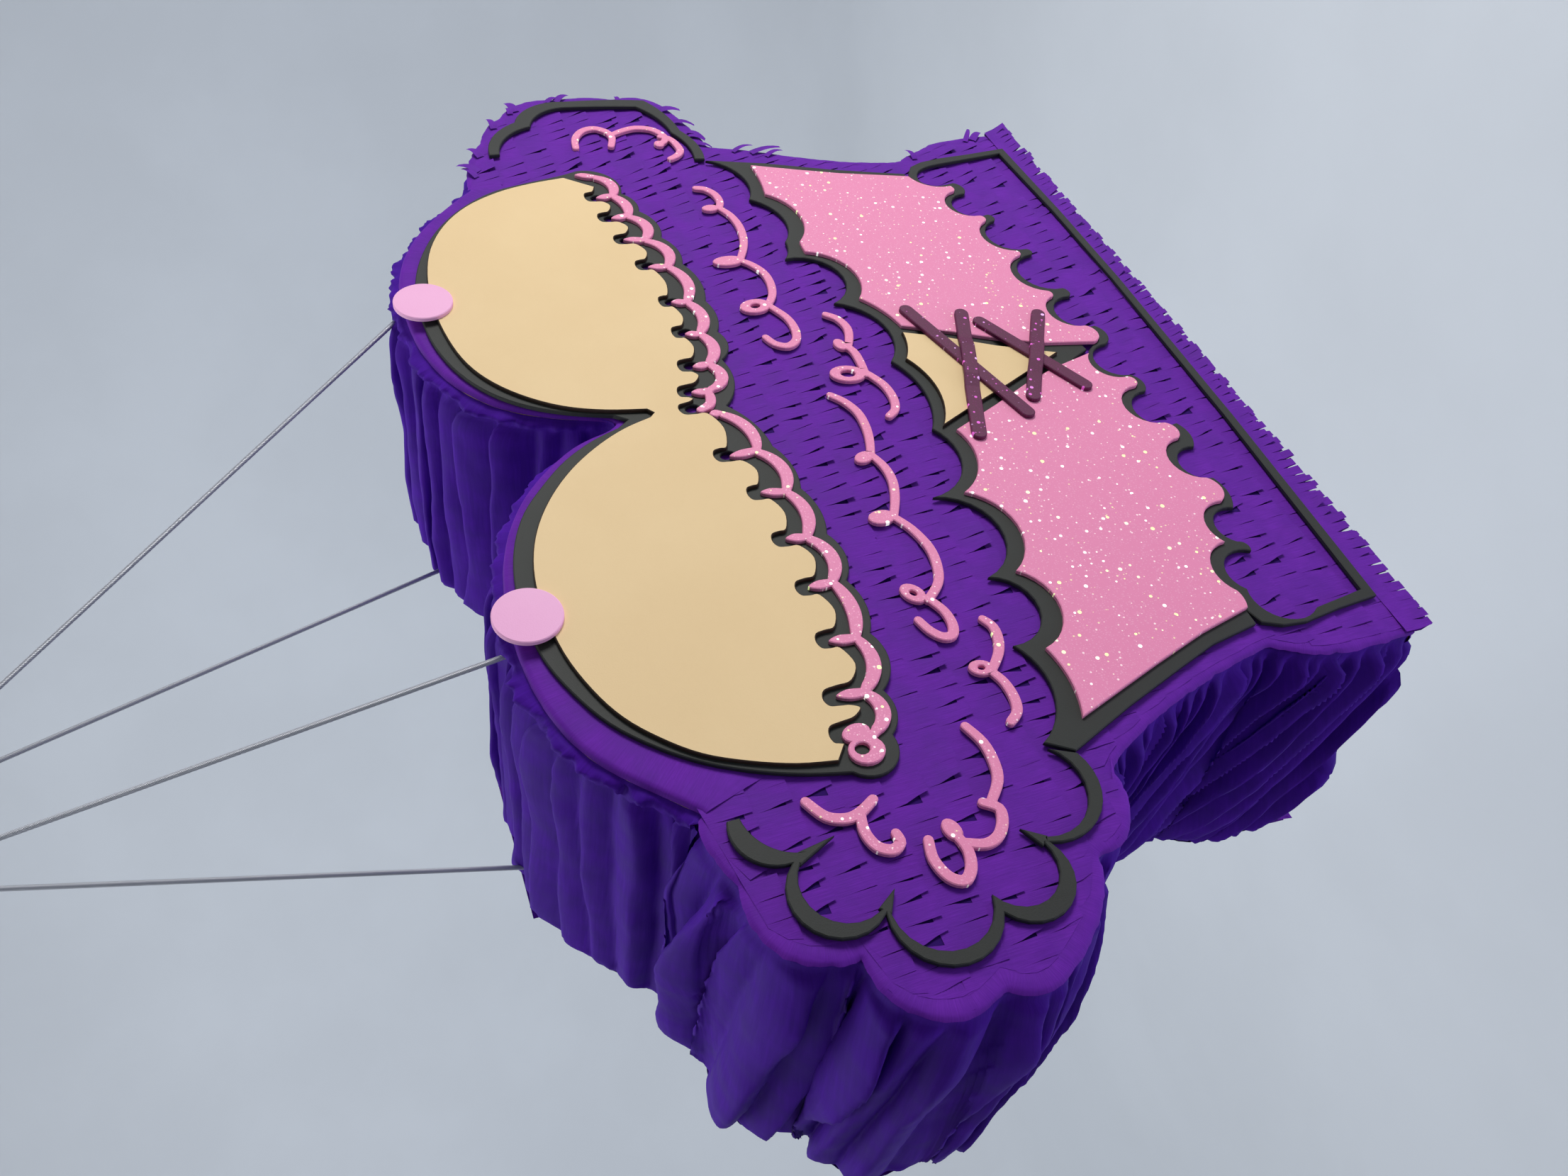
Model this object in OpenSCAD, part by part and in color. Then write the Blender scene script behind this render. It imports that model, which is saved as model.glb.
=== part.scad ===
// Hanging pinata in the shape of a ruffled, laced corset top.
// A cardboard box of two shaped panels joined by bent card walls, covered in crepe paper,
// dressed in cut foam sheet and hung by four cords from a steel ring.
// The origin is the middle of the ring's hole. +X is the viewer's right, +Y runs from the front
// to the back, and +Z is up. Outlines are drawn from the lacing's axis, with the front panel's
// face at y = 0, and every outline is stretched from its drawn size to the sizes below.

/* [Overall] */
// Width across the two side ruffles
body_w = 612; // [440:1:760]
// Height from the hem to the top of the taller cup
body_h = 391; // [280:1:500]
// Depth from the front panel's face to the back panel's face
body_d = 160; // [110:1:220]

/* [Cardboard] */
// Thickness of the front and back panels
panel_t = 3; // [2:0.5:5]
// Thickness of the bent card walls between the panels
wall_t = 2; // [1:0.5:3]

/* [Crepe covers] */
// Thickness of the fringed crepe on the panels
crepe_t = 2; // [1:0.5:4]
// Thickness of the gathered crepe on the walls
gather_t = 4; // [2:0.5:6]
// Height of the fringe that hangs below the hem
fringe_h = 8; // [4:1:14]
// Width of one tab of the hanging fringe
fringe_pitch = 9; // [6:1:15]

/* [Foam trim] */
// Thickness of each foam sheet
foam_t = 2; // [1:0.5:4]
// Width of the swirls cut from pink foam
swirl_w = 4.6; // [3.5:0.1:5.5]
// Width of a lacing strip
lace_w = 7.5; // [5:0.5:9]
// Diameter of the foam dots that cover the cord holes
dot_d = 29; // [22:1:34]

/* [Filler flap] */
// Width of the filler flap
flap_w = 120; // [80:1:160]
// Height of the filler flap
flap_h = 90; // [60:1:110]
// Gap round the flap
flap_gap = 1; // [0.5:0.5:2]
// Height of the tape strip on each side of the flap's fold
tape_h = 18; // [12:1:24]
// Thickness of the tape
tape_t = 0.5; // [0.5:0.5:1]

/* [Hanging] */
// Cord diameter
cord_d = 2.5; // [2:0.1:3.5]
// Inner radius of the hanging ring
ring_r = 21.3; // [18:0.1:26]
// Thickness of the ring's wire
ring_wire = 4.4; // [3.5:0.1:5.5]
// Angle of the cord loops from the ring's lowest point
loop_angle = 48; // [35:1:60]
// Distance of each cord hole from the panel's outer face
hole_inset = 9; // [8:0.5:14]

/* [Hidden] */

// Size at which the outlines are drawn
DRAWN_W = 612;
DRAWN_H = 391;
DRAWN_D = 160;
kx = body_w / DRAWN_W;
ky = body_d / DRAWN_D;
kz = body_h / DRAWN_H;

// Steps in a drawn arc and in one span of a smooth curve
ARC_STEPS = 12;
SPLINE_STEPS = 4;
// Room between neighbours that must not touch
CLEAR = 0.3;

// Colours
CARD = [0.72, 0.55, 0.36];
PURPLE = [0.36, 0.14, 0.62];
BLACK = [0.12, 0.12, 0.12];
SKIN = [0.91, 0.79, 0.60];
PINK = [0.93, 0.58, 0.73];
PALE_PINK = [0.95, 0.73, 0.85];
PLUM = [0.43, 0.05, 0.32];
SILVER = [0.80, 0.81, 0.82];
TAPE = [0.86, 0.80, 0.62];

// --- Curves ---------------------------------------------------------------------------------

function unit(v) = v / norm(v);
function left(v) = [-v.y, v.x];
function flip(p) = [for (i = [len(p) - 1:-1:0]) p[i]];
function turn(a) = a < 0 ? a + 360 : a;
function angle_of(v) = atan2(v.y, v.x);

// Stretches drawn points to the chosen width and height
function fit(p) = [for (q = p) [q.x * kx, q.y * kz]];

// Centre of the circle through three points
function centre3(a, b, c) =
    let (d = 2 * (a.x * (b.y - c.y) + b.x * (c.y - a.y) + c.x * (a.y - b.y)))
    [((a * a) * (b.y - c.y) + (b * b) * (c.y - a.y) + (c * c) * (a.y - b.y)) / d,
     ((a * a) * (c.x - b.x) + (b * b) * (a.x - c.x) + (c * c) * (b.x - a.x)) / d];

// Arc from a to c through b, without its last point
function arc3(a, b, c) =
    let (o = centre3(a, b, c), r = norm(a - o), start = angle_of(a - o),
         to_b = turn(angle_of(b - o) - start), to_c = turn(angle_of(c - o) - start),
         along_b = turn(to_b), along_c = turn(to_c),
         sweep = along_b < along_c ? along_c : along_c - 360)
    [for (i = [0:ARC_STEPS - 1]) let (t = start + sweep * i / ARC_STEPS) o + r * [cos(t), sin(t)]];

// Scallops: arcs through corner, middle, corner, middle and so on
function lobes(p) = [for (i = [0:2:len(p) - 3]) each arc3(p[i], p[i + 1], p[i + 2]), p[len(p) - 1]];

// Smooth curve through every point
function bend(a, b, c, d, t) =
    0.5 * (2 * b + (c - a) * t + (2 * a - 5 * b + 4 * c - d) * t * t + (3 * b - a - 3 * c + d) * t * t * t);
function spline(p) = [
    for (i = [0:len(p) - 2])
        let (a = p[max(i - 1, 0)], b = p[i], c = p[i + 1], d = p[min(i + 2, len(p) - 1)])
        for (k = [0:SPLINE_STEPS - 1]) bend(a, b, c, d, k / SPLINE_STEPS),
    p[len(p) - 1]
];

// Direction of an open path at point i
function heading(p, i) = unit(p[min(i + 1, len(p) - 1)] - p[max(i - 1, 0)]);

// How far the edge on side s (1 left, -1 right) may stand off point i: less inside a tight bend
function reach(p, i, s, half) =
    let (a = p[max(i - 1, 0)], b = p[i], c = p[min(i + 1, len(p) - 1)],
         bent = cross(b - a, c - b), inside = bent * s > 0.001)
    inside ? min(half, 0.8 * norm(centre3(a, b, c) - b)) : half;

// The round end of a ribbon that stops at c and heads along way
function cap(c, way, r) = [for (t = [60:-30:-60]) c + r * (cos(t) * way + sin(t) * left(way))];

// A ribbon with round ends, whose width grows from w_end at its ends to w_mid
function ribbon(p, w_end, w_mid) =
    let (last = len(p) - 1,
         half = [for (i = [0:last]) (w_end + (w_mid - w_end) * sin(180 * i / last)) / 2],
         side = [for (i = [0:last]) left(heading(p, i))])
    concat([for (i = [0:last]) p[i] + side[i] * reach(p, i, 1, half[i])],
           cap(p[last], heading(p, last), w_end / 2),
           [for (i = [last:-1:0]) p[i] - side[i] * reach(p, i, -1, half[i])],
           cap(p[0], -heading(p, 0), w_end / 2));

// A closed clockwise outline moved outwards by d, with mitred corners
function grown(p, d) = [
    for (i = [0:len(p) - 1])
        let (before = p[(i + len(p) - 1) % len(p)], after = p[(i + 1) % len(p)],
             n1 = left(unit(p[i] - before)), n2 = left(unit(after - p[i])), n = unit(n1 + n2))
        p[i] + n * d / max(n * n1, 0.25)
];

// An oval outline, turned by a degrees
function oval(c, rx, ry, a = 0, n = 20) = [
    for (i = [0:n - 1]) let (t = 360 * i / n, x = rx * cos(t), y = ry * sin(t))
        c + [x * cos(a) - y * sin(a), x * sin(a) + y * cos(a)]
];

// --- The body's outline, clockwise from the lower left corner of the hem ---------------------

WAIST_LEFT = fit(concat(
    spline([[-207, -103], [-207, -65], [-204, -47], [-195, -30]]),
    spline([[-195, -30], [-202, 1], [-211, 30], [-223, 58], [-234, 75]])));
RUFFLE_LEFT = fit(lobes([[-234, 75], [-254, 77], [-266, 98], [-281, 105], [-302, 129], [-308, 141],
    [-302, 155], [-307, 179], [-277, 197], [-271, 222], [-240, 228], [-227, 235], [-210, 233]]));
DOME_LEFT = fit(spline([[-210, 233], [-197, 246], [-183, 260], [-169, 270], [-151, 277], [-131, 281],
    [-106, 282], [-84, 280], [-63, 275], [-45, 267], [-29, 256], [-16, 243], [-6, 229], [0, 213]]));
DOME_RIGHT = fit(concat([[4.5, 207]], spline([[9, 211], [13, 224], [19, 240], [28, 256], [42, 270],
    [60, 280], [82, 286], [107, 288], [131, 287], [153, 281], [174, 270], [192, 255], [205, 242],
    [213, 233]])));
RUFFLE_RIGHT = fit(lobes([[213, 233], [239, 229], [264, 216], [277, 211], [286, 201], [300, 190],
    [303, 166], [304, 148], [299, 129], [297, 109], [281, 99], [259, 92], [236, 88]]));
WAIST_RIGHT = fit(concat(
    spline([[236, 88], [229, 65], [218, 40], [210, 18], [204, -4], [201, -27]]),
    spline([[201, -27], [212, -45], [220, -67], [222, -103]])));

// Drops each stretch's last point, which the next stretch starts with, and doubled points
function open_end(p) = [for (i = [0:len(p) - 2]) if (norm(p[i + 1] - p[i]) > 0.01) p[i]];
STRETCHES = [for (s = [WAIST_LEFT, RUFFLE_LEFT, DOME_LEFT, DOME_RIGHT, RUFFLE_RIGHT, WAIST_RIGHT]) open_end(s)];
HEM_END = WAIST_RIGHT[len(WAIST_RIGHT) - 1];
HEM_START = WAIST_LEFT[0];
CUP_JOIN = DOME_LEFT[len(DOME_LEFT) - 1];
OUTLINE = concat(STRETCHES[0], STRETCHES[1], STRETCHES[2], [CUP_JOIN], STRETCHES[3], STRETCHES[4],
                 STRETCHES[5], [HEM_END]);
INSIDE = grown(OUTLINE, -wall_t);
OUTSIDE = grown(OUTLINE, gather_t);

// Where each stretch starts in OUTLINE; the hem runs from the last point round to the first
START = [
    0,
    len(STRETCHES[0]),
    len(STRETCHES[0]) + len(STRETCHES[1]),
    len(STRETCHES[0]) + len(STRETCHES[1]) + len(STRETCHES[2]),
    len(STRETCHES[0]) + len(STRETCHES[1]) + len(STRETCHES[2]) + 1 + len(STRETCHES[3]),
    len(STRETCHES[0]) + len(STRETCHES[1]) + len(STRETCHES[2]) + 1 + len(STRETCHES[3]) + len(STRETCHES[4]),
    len(OUTLINE) - 1
];

// The band between two outlines from point i to point j
function band(a, b, i, j) = concat([for (k = [i:j]) a[k % len(a)]], [for (k = [j:-1:i]) b[k % len(b)]]);

// --- Places ---------------------------------------------------------------------------------

BACK = body_d;
ring_mid_r = ring_r + ring_wire / 2;
HANG = [-90 * kx, 78 * ky, 565 * kz];
LOOP_X = ring_mid_r * sin(loop_angle);
LOOP_DROP = ring_mid_r * cos(loop_angle);
// The cord loop turns about X, as the ring does when it rocks, so it is wide enough to pass the
// wire's slant, and its knot hangs under it
KNOT_R = 3.6;
loop_r = 0.55 * ring_wire / cos(loop_angle) + cord_d / 2 * tan(loop_angle) + cord_d / 2 + CLEAR;
KNOT_DROP = loop_r + KNOT_R - 1;
flap_mid = [3 * kx, 110 * kz];
FLAP_TOP = flap_mid.y + flap_h / 2;
HINGE_Y = BACK + crepe_t + tape_t;
// Where a cup's front and back cords go in through its top
HOLES_LEFT = fit([[-111, 282], [-129, 281]]);
HOLES_RIGHT = fit([[120, 287.5], [73, 283.5]]);
// How far a cord reaches below the card inside, and the size of its stopper knot
CORD_TAIL = 10;
STOP_R = 2.4;
DISC_R = 3.4;
DISC_T = 1.5;

// Moves the body from its drawn place to the ring-centred frame
module hung() {
    translate(-HANG) children();
}

// Raises an outline from y0 to y1, front to back
module slab(y0, y1) {
    translate([0, y1, 0]) rotate([90, 0, 0]) linear_extrude(y1 - y0) children();
}

// Foam in the first, second or third layer on the front crepe
module foam(layer) {
    slab(-crepe_t - foam_t * layer, -crepe_t - foam_t * (layer - 1)) children();
}

// --- Cardboard ------------------------------------------------------------------------------

module front_panel() {
    color(CARD) hung() slab(0, panel_t) polygon(OUTLINE);
}

module flap_opening(extra) {
    translate(flap_mid) square([flap_w + 2 * extra, flap_h + 2 * extra], center = true);
}

module back_panel() {
    color(CARD) hung() slab(BACK - panel_t, BACK) difference() {
        polygon(OUTLINE);
        flap_opening(flap_gap);
    }
}

// A bent card wall along stretch s
module wall(s) {
    color(CARD) hung() slab(panel_t, BACK - panel_t) polygon(band(OUTLINE, INSIDE, START[s], START[s + 1]));
}

// A cup's wall, with the holes for its two cords
module dome_wall(s, holes, side) {
    color(CARD) hung() difference() {
        slab(panel_t, BACK - panel_t) polygon(band(OUTLINE, INSIDE, START[s], START[s + 1]));
        for (back = [0, 1]) along_cord(holes, side, back)
            translate([0, 0, -12]) cylinder(d = cord_d + 1.5, h = 24, $fn = 24);
    }
}

module wall_hem() {
    color(CARD) hung() slab(panel_t, BACK - panel_t)
        polygon(band(OUTLINE, INSIDE, len(OUTLINE) - 1, len(OUTLINE)));
}

// --- Crepe ----------------------------------------------------------------------------------

module crepe_front() {
    color(PURPLE) hung() slab(-crepe_t, 0) polygon(OUTLINE);
}

module crepe_back() {
    color(PURPLE) hung() slab(BACK, BACK + crepe_t) difference() {
        polygon(OUTLINE);
        flap_opening(flap_gap);
    }
}

// Gathered crepe over the wall from outline point i to j
module gathered(i, j) {
    color(PURPLE) hung() slab(0, BACK) polygon(band(OUTSIDE, OUTLINE, i, j));
}

// The gathered crepe on a cup stops above the cleft, where the two cups' covers would meet
CLEFT_POINTS = 7;

// Gathered crepe on a cup, open round its two cords
module dome_crepe(i, j, holes, side) {
    color(PURPLE) hung() difference() {
        slab(0, BACK) polygon(band(OUTSIDE, OUTLINE, i, j));
        for (back = [0, 1]) along_cord(holes, side, back)
            translate([0, 0, -12]) cylinder(d = cord_d + 1.5, h = 40, $fn = 24);
    }
}

// A row of cut tabs under the hem, of uneven length
function tab_drop(i) = fringe_h * (0.72 + 0.28 * sin(i * 137));
module hem_fringe(y) {
    x0 = HEM_START.x;
    tabs = floor((HEM_END.x - x0) / fringe_pitch);
    pitch = (HEM_END.x - x0) / tabs;
    gap = 0.8;
    color(PURPLE) hung() slab(y, y + crepe_t) translate([0, HEM_START.y]) polygon(concat(
        [for (i = [0:tabs - 1]) each [[x0 + i * pitch + gap, -gather_t],
            [x0 + i * pitch + gap, -gather_t - tab_drop(i)], [x0 + (i + 1) * pitch, -gather_t - tab_drop(i + 0.4)],
            [x0 + (i + 1) * pitch, -gather_t]]],
        [[HEM_END.x, 0], [x0, 0]]));
}

// --- Cups -----------------------------------------------------------------------------------

CUP_BACKING_TOP = concat(
    spline([[-210, 175], [-206, 192], [-200, 209], [-191, 227], [-179, 243], [-164, 257], [-146, 267],
        [-126, 274], [-103, 276.5], [-82, 275.5], [-63, 271], [-46, 263], [-31, 251], [-18, 238],
        [-8, 223], [-2, 209]]),
    [[2.5, 203]],
    spline([[7, 209], [13, 228], [22, 246], [35, 261], [52, 272], [73, 279], [95, 281.5], [117, 281],
        [137, 277], [157, 269], [175, 258], [191, 243], [203, 225], [209, 205], [213, 186], [217, 173]]));
CUP_BACKING_LOW = lobes([[217, 173], [207, 155], [190, 154], [181, 148.5], [171, 149], [158, 142.5],
    [144, 144], [131, 138.5], [118, 140], [103, 135.5], [84, 138], [73, 136], [58, 140], [47, 138],
    [36, 145], [20, 144], [2, 154], [-13, 145], [-30, 142], [-44, 137.5], [-60, 139], [-74, 135.5],
    [-90, 138], [-103, 134.5], [-118, 140], [-133, 137], [-148, 141.5], [-162, 139], [-177, 148],
    [-187, 146.5], [-198, 153], [-213, 160], [-210, 175]]);

// Notches along the skin's lower edge, and the low point of the scallop to the right of each
NOTCHES = [[-193, 178], [-176, 174], [-148, 166], [-119, 164], [-90, 164], [-60, 165], [-33, 172],
    [2, 178], [14, 175], [33, 169], [59, 164], [85, 163], [118, 166], [143, 171], [165, 174], [186, 176]];
SCALLOPS = [[-184, 161], [-163, 154.5], [-134, 152], [-104, 149.5], [-75, 152.5], [-46, 155.5],
    [-15, 161], [8, 169], [24, 161], [46, 156.5], [71, 154.5], [101, 154.5], [130, 156.5], [154, 160],
    [176, 164], [196, 168]];
NOTCH_HALF = 4.5;
// A notch's side, as shares of its half width and of its height, from the bottom up
NOTCH_FORM = [[1.2, 0.26], [1, 0.62], [0.8, 0.9]];
// Notches from this one on show crepe through the backing
FIRST_OPEN_NOTCH = 6;

module cup_backing() {
    color(BLACK) hung() foam(1) difference() {
        polygon(fit(concat(CUP_BACKING_TOP, CUP_BACKING_LOW)));
        for (i = [FIRST_OPEN_NOTCH:len(NOTCHES) - 1])
            polygon(fit(oval(NOTCHES[i] + [1.5, -7], 2.6, 3.6, 12, 12)));
    }
}

CUP_SKIN_TOP = concat(
    spline([[-205, 179], [-202, 195], [-196, 212], [-188, 228], [-177, 241], [-164, 252], [-148, 260],
        [-128, 266], [-105, 268.5], [-86, 268], [-68, 264], [-52, 257], [-37, 247], [-24, 235],
        [-13, 221], [-5, 207], [0, 193]]),
    [[2.5, 190.5]],
    spline([[5.5, 193], [9, 212], [16, 231], [28, 248], [43, 261], [60, 269], [82, 273.5], [106, 275],
        [130, 273], [152, 267.5], [172, 257], [188, 242], [199, 223], [205, 203], [208, 183]]));

// One side of a notch with its top at n, from beside the scallop's low point up to the top; s is the side
function notch_side(n, low, s) =
    let (half = min(NOTCH_HALF, abs(low.x - n.x) * 0.6), rise = n.y - low.y)
    [for (q = NOTCH_FORM) [n.x + s * half * q.x, low.y + rise * q.y]];
// From right to left: up the near side of each notch, over it and down to the next scallop
CUP_SKIN_LOW = [
    for (i = [len(NOTCHES) - 1:-1:0])
        let (n = NOTCHES[i], left_low = i > 0 ? SCALLOPS[i - 1] : n - [7, 6], left = notch_side(n, left_low, -1))
        each concat([SCALLOPS[i]], notch_side(n, SCALLOPS[i], 1), [n], [for (j = [len(left) - 1:-1:0]) left[j]])
];

module cup_skin() {
    color(SKIN) hung() foam(2) polygon(fit(concat(CUP_SKIN_TOP, spline(CUP_SKIN_LOW))));
}

// A pink scalloped trim: corners c, scallop bottoms m and the tips t that stand up at the corners
TRIM_EDGE = 3.2;
function trim_outline(c, m, t) =
    let (last = len(c) - 1,
         low = lobes([for (i = [0:last - 1]) each [c[i] - [0, 2], m[i] - [0, TRIM_EDGE]], c[last] - [0, 2]]))
    concat(low, [
        for (i = [last:-1:0])
            let (up = t[i] - c[i])
            each concat(
                spline([c[i] + [2.2, 1.5], c[i] + up * 0.6 + [2.4, 0], t[i], c[i] + up * 0.6 - [2.4, 0],
                        c[i] + [-2.2, 1.5]]),
                i > 0 ? [for (q = arc3(c[i] + [-3, 1.5], m[i - 1] + [0, TRIM_EDGE], c[i - 1] + [3, 1.5])) q] : [])
    ]);

TRIM_L_CORNERS = [[-197, 160], [-177, 156], [-150, 149], [-119, 147], [-91, 148], [-62, 147], [-33, 151], [-4, 159]];
TRIM_L_MIDS = [[-187, 153], [-163, 147], [-134, 144.5], [-104, 142], [-76, 143], [-47, 143.5], [-18, 150]];
TRIM_L_TIPS = [[-195, 173], [-176, 168.5], [-149, 161], [-119, 158.5], [-90, 158], [-60, 159], [-34, 165], [-4, 165]];

module cup_trim_left() {
    color(PINK) hung() foam(2) {
        polygon(fit(trim_outline(TRIM_L_CORNERS, TRIM_L_MIDS, TRIM_L_TIPS)));
        polygon(fit(oval([-194.5, 167.5], 4.2, 6, 10)));
        difference() {
            polygon(fit(oval([-203, 166.5], 6.5, 7.5)));
            polygon(fit(oval([-202, 168], 2.8, 3.2, 0, 12)));
        }
    }
}

TRIM_R_CORNERS = [[12, 159], [32, 153], [56, 150], [83, 148.5], [115, 149], [141, 154], [165, 157], [186, 160], [207, 165]];
TRIM_R_MIDS = [[22, 150], [44, 147], [70, 144.5], [100, 143.5], [128, 145.5], [154, 150], [176, 155.5], [197, 158]];
TRIM_R_TIPS = [[13, 168.5], [31.5, 162], [57, 158], [84, 157], [116, 160], [143, 166], [164, 167], [185, 170], [210, 176]];

module cup_trim_right() {
    color(PINK) hung() foam(2) {
        polygon(fit(trim_outline(TRIM_R_CORNERS, TRIM_R_MIDS, TRIM_R_TIPS)));
        polygon(fit(ribbon(spline([[0, 168], [3, 162.5], [8, 160.5], [13, 161]]), 4, 5)));
    }
}

// --- Swirls ---------------------------------------------------------------------------------

// A stroke through points p with round ends
module stroke(p) {
    polygon(ribbon(fit(spline(p)), swirl_w * 0.85, swirl_w));
}

// A round end, or a small loop where hole is over 0
module blob(c, rx, ry, a, hole = 0) {
    difference() {
        polygon(fit(oval(c, rx, ry, a)));
        if (hole > 0) polygon(fit(oval(c, rx * hole, ry * hole, a, 12)));
    }
}

module swirl_ruffle_left_top() {
    color(PINK) hung() foam(1) {
        stroke([[-217, 197], [-225, 192], [-228, 185], [-227, 179], [-223, 172]]);
        stroke([[-227, 179], [-235, 180.5], [-242, 178.5], [-245, 173.5], [-243, 169.5], [-239, 169.5]]);
    }
}

module swirl_ruffle_left_low() {
    color(PINK) hung() foam(1) {
        stroke([[-245, 159], [-253, 160.5], [-261, 158], [-264, 153], [-260, 148.5], [-253, 146.5], [-246, 148]]);
        stroke([[-250, 146], [-252.5, 139], [-251, 133], [-246, 128.5], [-240, 127], [-236, 132]]);
        stroke([[-237, 129], [-229, 122], [-221, 119.5], [-211, 119.5], [-202, 123]]);
        blob([-243.5, 148.5], 5, 3.4, 15);
    }
}

module swirl_band_left_short() {
    color(PINK) hung() foam(1) {
        stroke([[-205, 104], [-201, 99], [-194, 97], [-186, 97.5], [-180, 100]]);
        stroke([[-179, 99.5], [-172, 93], [-165, 89.5], [-158, 88.5], [-153, 91]]);
        blob([-177, 103.5], 4, 5.5, -15, 0.3);
    }
}

module swirl_band_left_long() {
    color(PINK) hung() foam(1) {
        stroke([[-146.5, 118.5], [-153, 116], [-157.5, 112], [-157.5, 107.5], [-152, 105], [-144, 105.5], [-136, 109.5]]);
        stroke([[-137, 109.5], [-129, 101], [-119, 97], [-108, 96], [-96, 99], [-87, 104]]);
        stroke([[-87, 104], [-76, 98.5], [-65, 95], [-55, 95], [-46, 98]]);
        stroke([[-46, 98], [-36, 94.5], [-26, 92.5], [-16, 92.5], [-7, 96], [-1, 101]]);
        blob([-132, 114.5], 6.4, 4.6, 35, 0.3);
        blob([-86, 109.5], 4.4, 6.5, 0);
        blob([-47, 102], 3.6, 5.2, 20);
    }
}

module swirl_band_middle() {
    color(PINK) hung() foam(1) {
        stroke([[-22, 78], [-18, 73], [-10, 70.5], [0, 71], [8, 74.5], [13, 77.5]]);
        stroke([[10, 77], [20, 76], [28, 76], [34, 78]]);
        stroke([[32, 78], [40, 74], [48, 72], [56, 74], [61, 79]]);
        blob([12.5, 86], 6.3, 9.4, -12, 0.42);
        blob([35.5, 81], 4.6, 3.2, 10);
    }
}

module swirl_band_right_long() {
    color(PINK) hung() foam(1) {
        stroke([[49, 117], [43, 114], [40, 108], [44, 102], [53, 99.5], [63, 100.5], [73, 105.5]]);
        stroke([[76, 105.5], [83, 101], [93, 98.5], [103, 99], [111, 103], [116, 108]]);
        stroke([[116, 108], [126, 102.5], [136, 99], [148, 97.5], [159, 99], [167, 103]]);
        stroke([[167, 103], [173, 100.5], [181, 101], [187, 105], [189, 110]]);
        blob([75, 113.5], 5.8, 8.6, 5, 0.32);
        blob([116.5, 114.5], 4.4, 8.8, 0);
        blob([167.5, 108], 3.2, 5, 0);
    }
}

module swirl_ruffle_right() {
    color(PINK) hung() foam(1) {
        stroke([[242, 167], [252, 165], [260, 159], [262, 151], [257, 144.5], [250, 143], [241, 146]]);
        stroke([[253, 143], [257, 135], [259, 126], [256, 117], [249, 112], [243, 112], [239, 116]]);
        stroke([[247, 114], [244.5, 109.5], [238, 107], [230, 106.5], [225, 110], [222, 115]]);
        blob([239, 117], 3.4, 3, 0);
    }
}

// --- Black lines ----------------------------------------------------------------------------

// A pointed spur on a line's inner side
function spur(root, tip, half) = let (side = left(unit(tip - root)) * half) [root + side, tip, root - side];

module ruffle_line_left() {
    color(BLACK) hung() foam(1) {
        polygon(fit(concat(
            lobes([[-217, 228], [-234, 225], [-240, 211], [-261, 216.5], [-268, 186], [-292, 173.5],
                [-280, 145], [-286, 123], [-259, 115], [-253, 89.5], [-226, 85]]),
            flip(lobes([[-217, 223], [-229.5, 218], [-237, 204], [-255.5, 211.5], [-263.5, 183.5], [-287, 171.5],
                [-272, 146], [-280, 127.5], [-254.5, 120], [-247, 91.5], [-221, 95.5]])))));
        polygon(fit(spur([-239, 209], [-233.5, 192], 2.5)));
        polygon(fit(spur([-267, 186], [-259.5, 179], 2.5)));
        polygon(fit(spur([-258, 116.5], [-250.5, 123.5], 2.5)));
    }
}

module ruffle_line_right() {
    color(BLACK) hung() foam(1) polygon(fit(concat(
        lobes([[241, 218], [261, 212], [275, 196], [290, 185], [295, 162], [294, 139], [290, 112],
            [274, 104], [252, 100], [234, 94], [218, 95]]),
        flip(lobes([[241, 212], [257, 206], [269, 188], [282, 180], [288, 162], [286, 140], [283, 119],
            [270, 110.5], [250, 106], [235, 100.5], [219, 101]])))));
}

module waist_backing() {
    color(BLACK) hung() foam(1) polygon(fit(concat(
        lobes([[-218, 96], [-192, 79], [-170, 85], [-155, 64], [-132, 78], [-111, 59], [-80, 81],
            [-58, 56], [-36, 61], [-12, 53], [17, 60], [40, 51], [69, 71], [91, 57], [112, 83],
            [121, 78], [128, 77], [150, 70], [172, 83], [196, 79], [216.5, 95]]),
        [[208, 61], [195, 23], [188, -2], [183, -21], [176, -21], [176, -18], [30, -18], [12, -48],
         [4, -49], [-12, -18], [-178, -18], [-178, -28], [-187, -28], [-192, -2], [-199, 18],
         [-211, 51], [-225, 85]])));
}

// Lower edge of the pink panels, right to left, which the hem line's scallops follow
PANEL_LOW_RIGHT = lobes([[177, -21], [171, -23.5], [163, -42], [160, -43.5], [157, -42], [143, -31],
    [130, -46], [127, -48.5], [124, -47], [107, -38], [93, -51], [91, -53], [88, -51], [68, -39],
    [54, -51], [51, -53], [48, -50], [32, -42.5], [21, -57], [14, -61], [7, -55]]);
PANEL_LOW_LEFT = lobes([[-1, -47], [-12, -43.5], [-23, -58], [-27, -61], [-31, -58], [-47, -43.5],
    [-60, -58], [-66, -62], [-72, -59], [-87, -45], [-101, -57], [-109, -60.5], [-117, -55],
    [-131, -38], [-141, -41], [-157, -25], [-169, -29], [-174, -29.5], [-179, -28]]);

module waist_panel_left() {
    color(PINK) hung() foam(2) polygon(fit(concat(
        lobes([[-212, 75], [-194, 71], [-176, 73], [-158, 55.5], [-133, 65], [-110, 51], [-82, 66],
            [-58, 48.5], [-41, 50.5]]),
        [[-28, 22], [-17, 0], [-8, -22]],
        PANEL_LOW_LEFT,
        [[-186, 0], [-196, 30]])));
}

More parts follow.
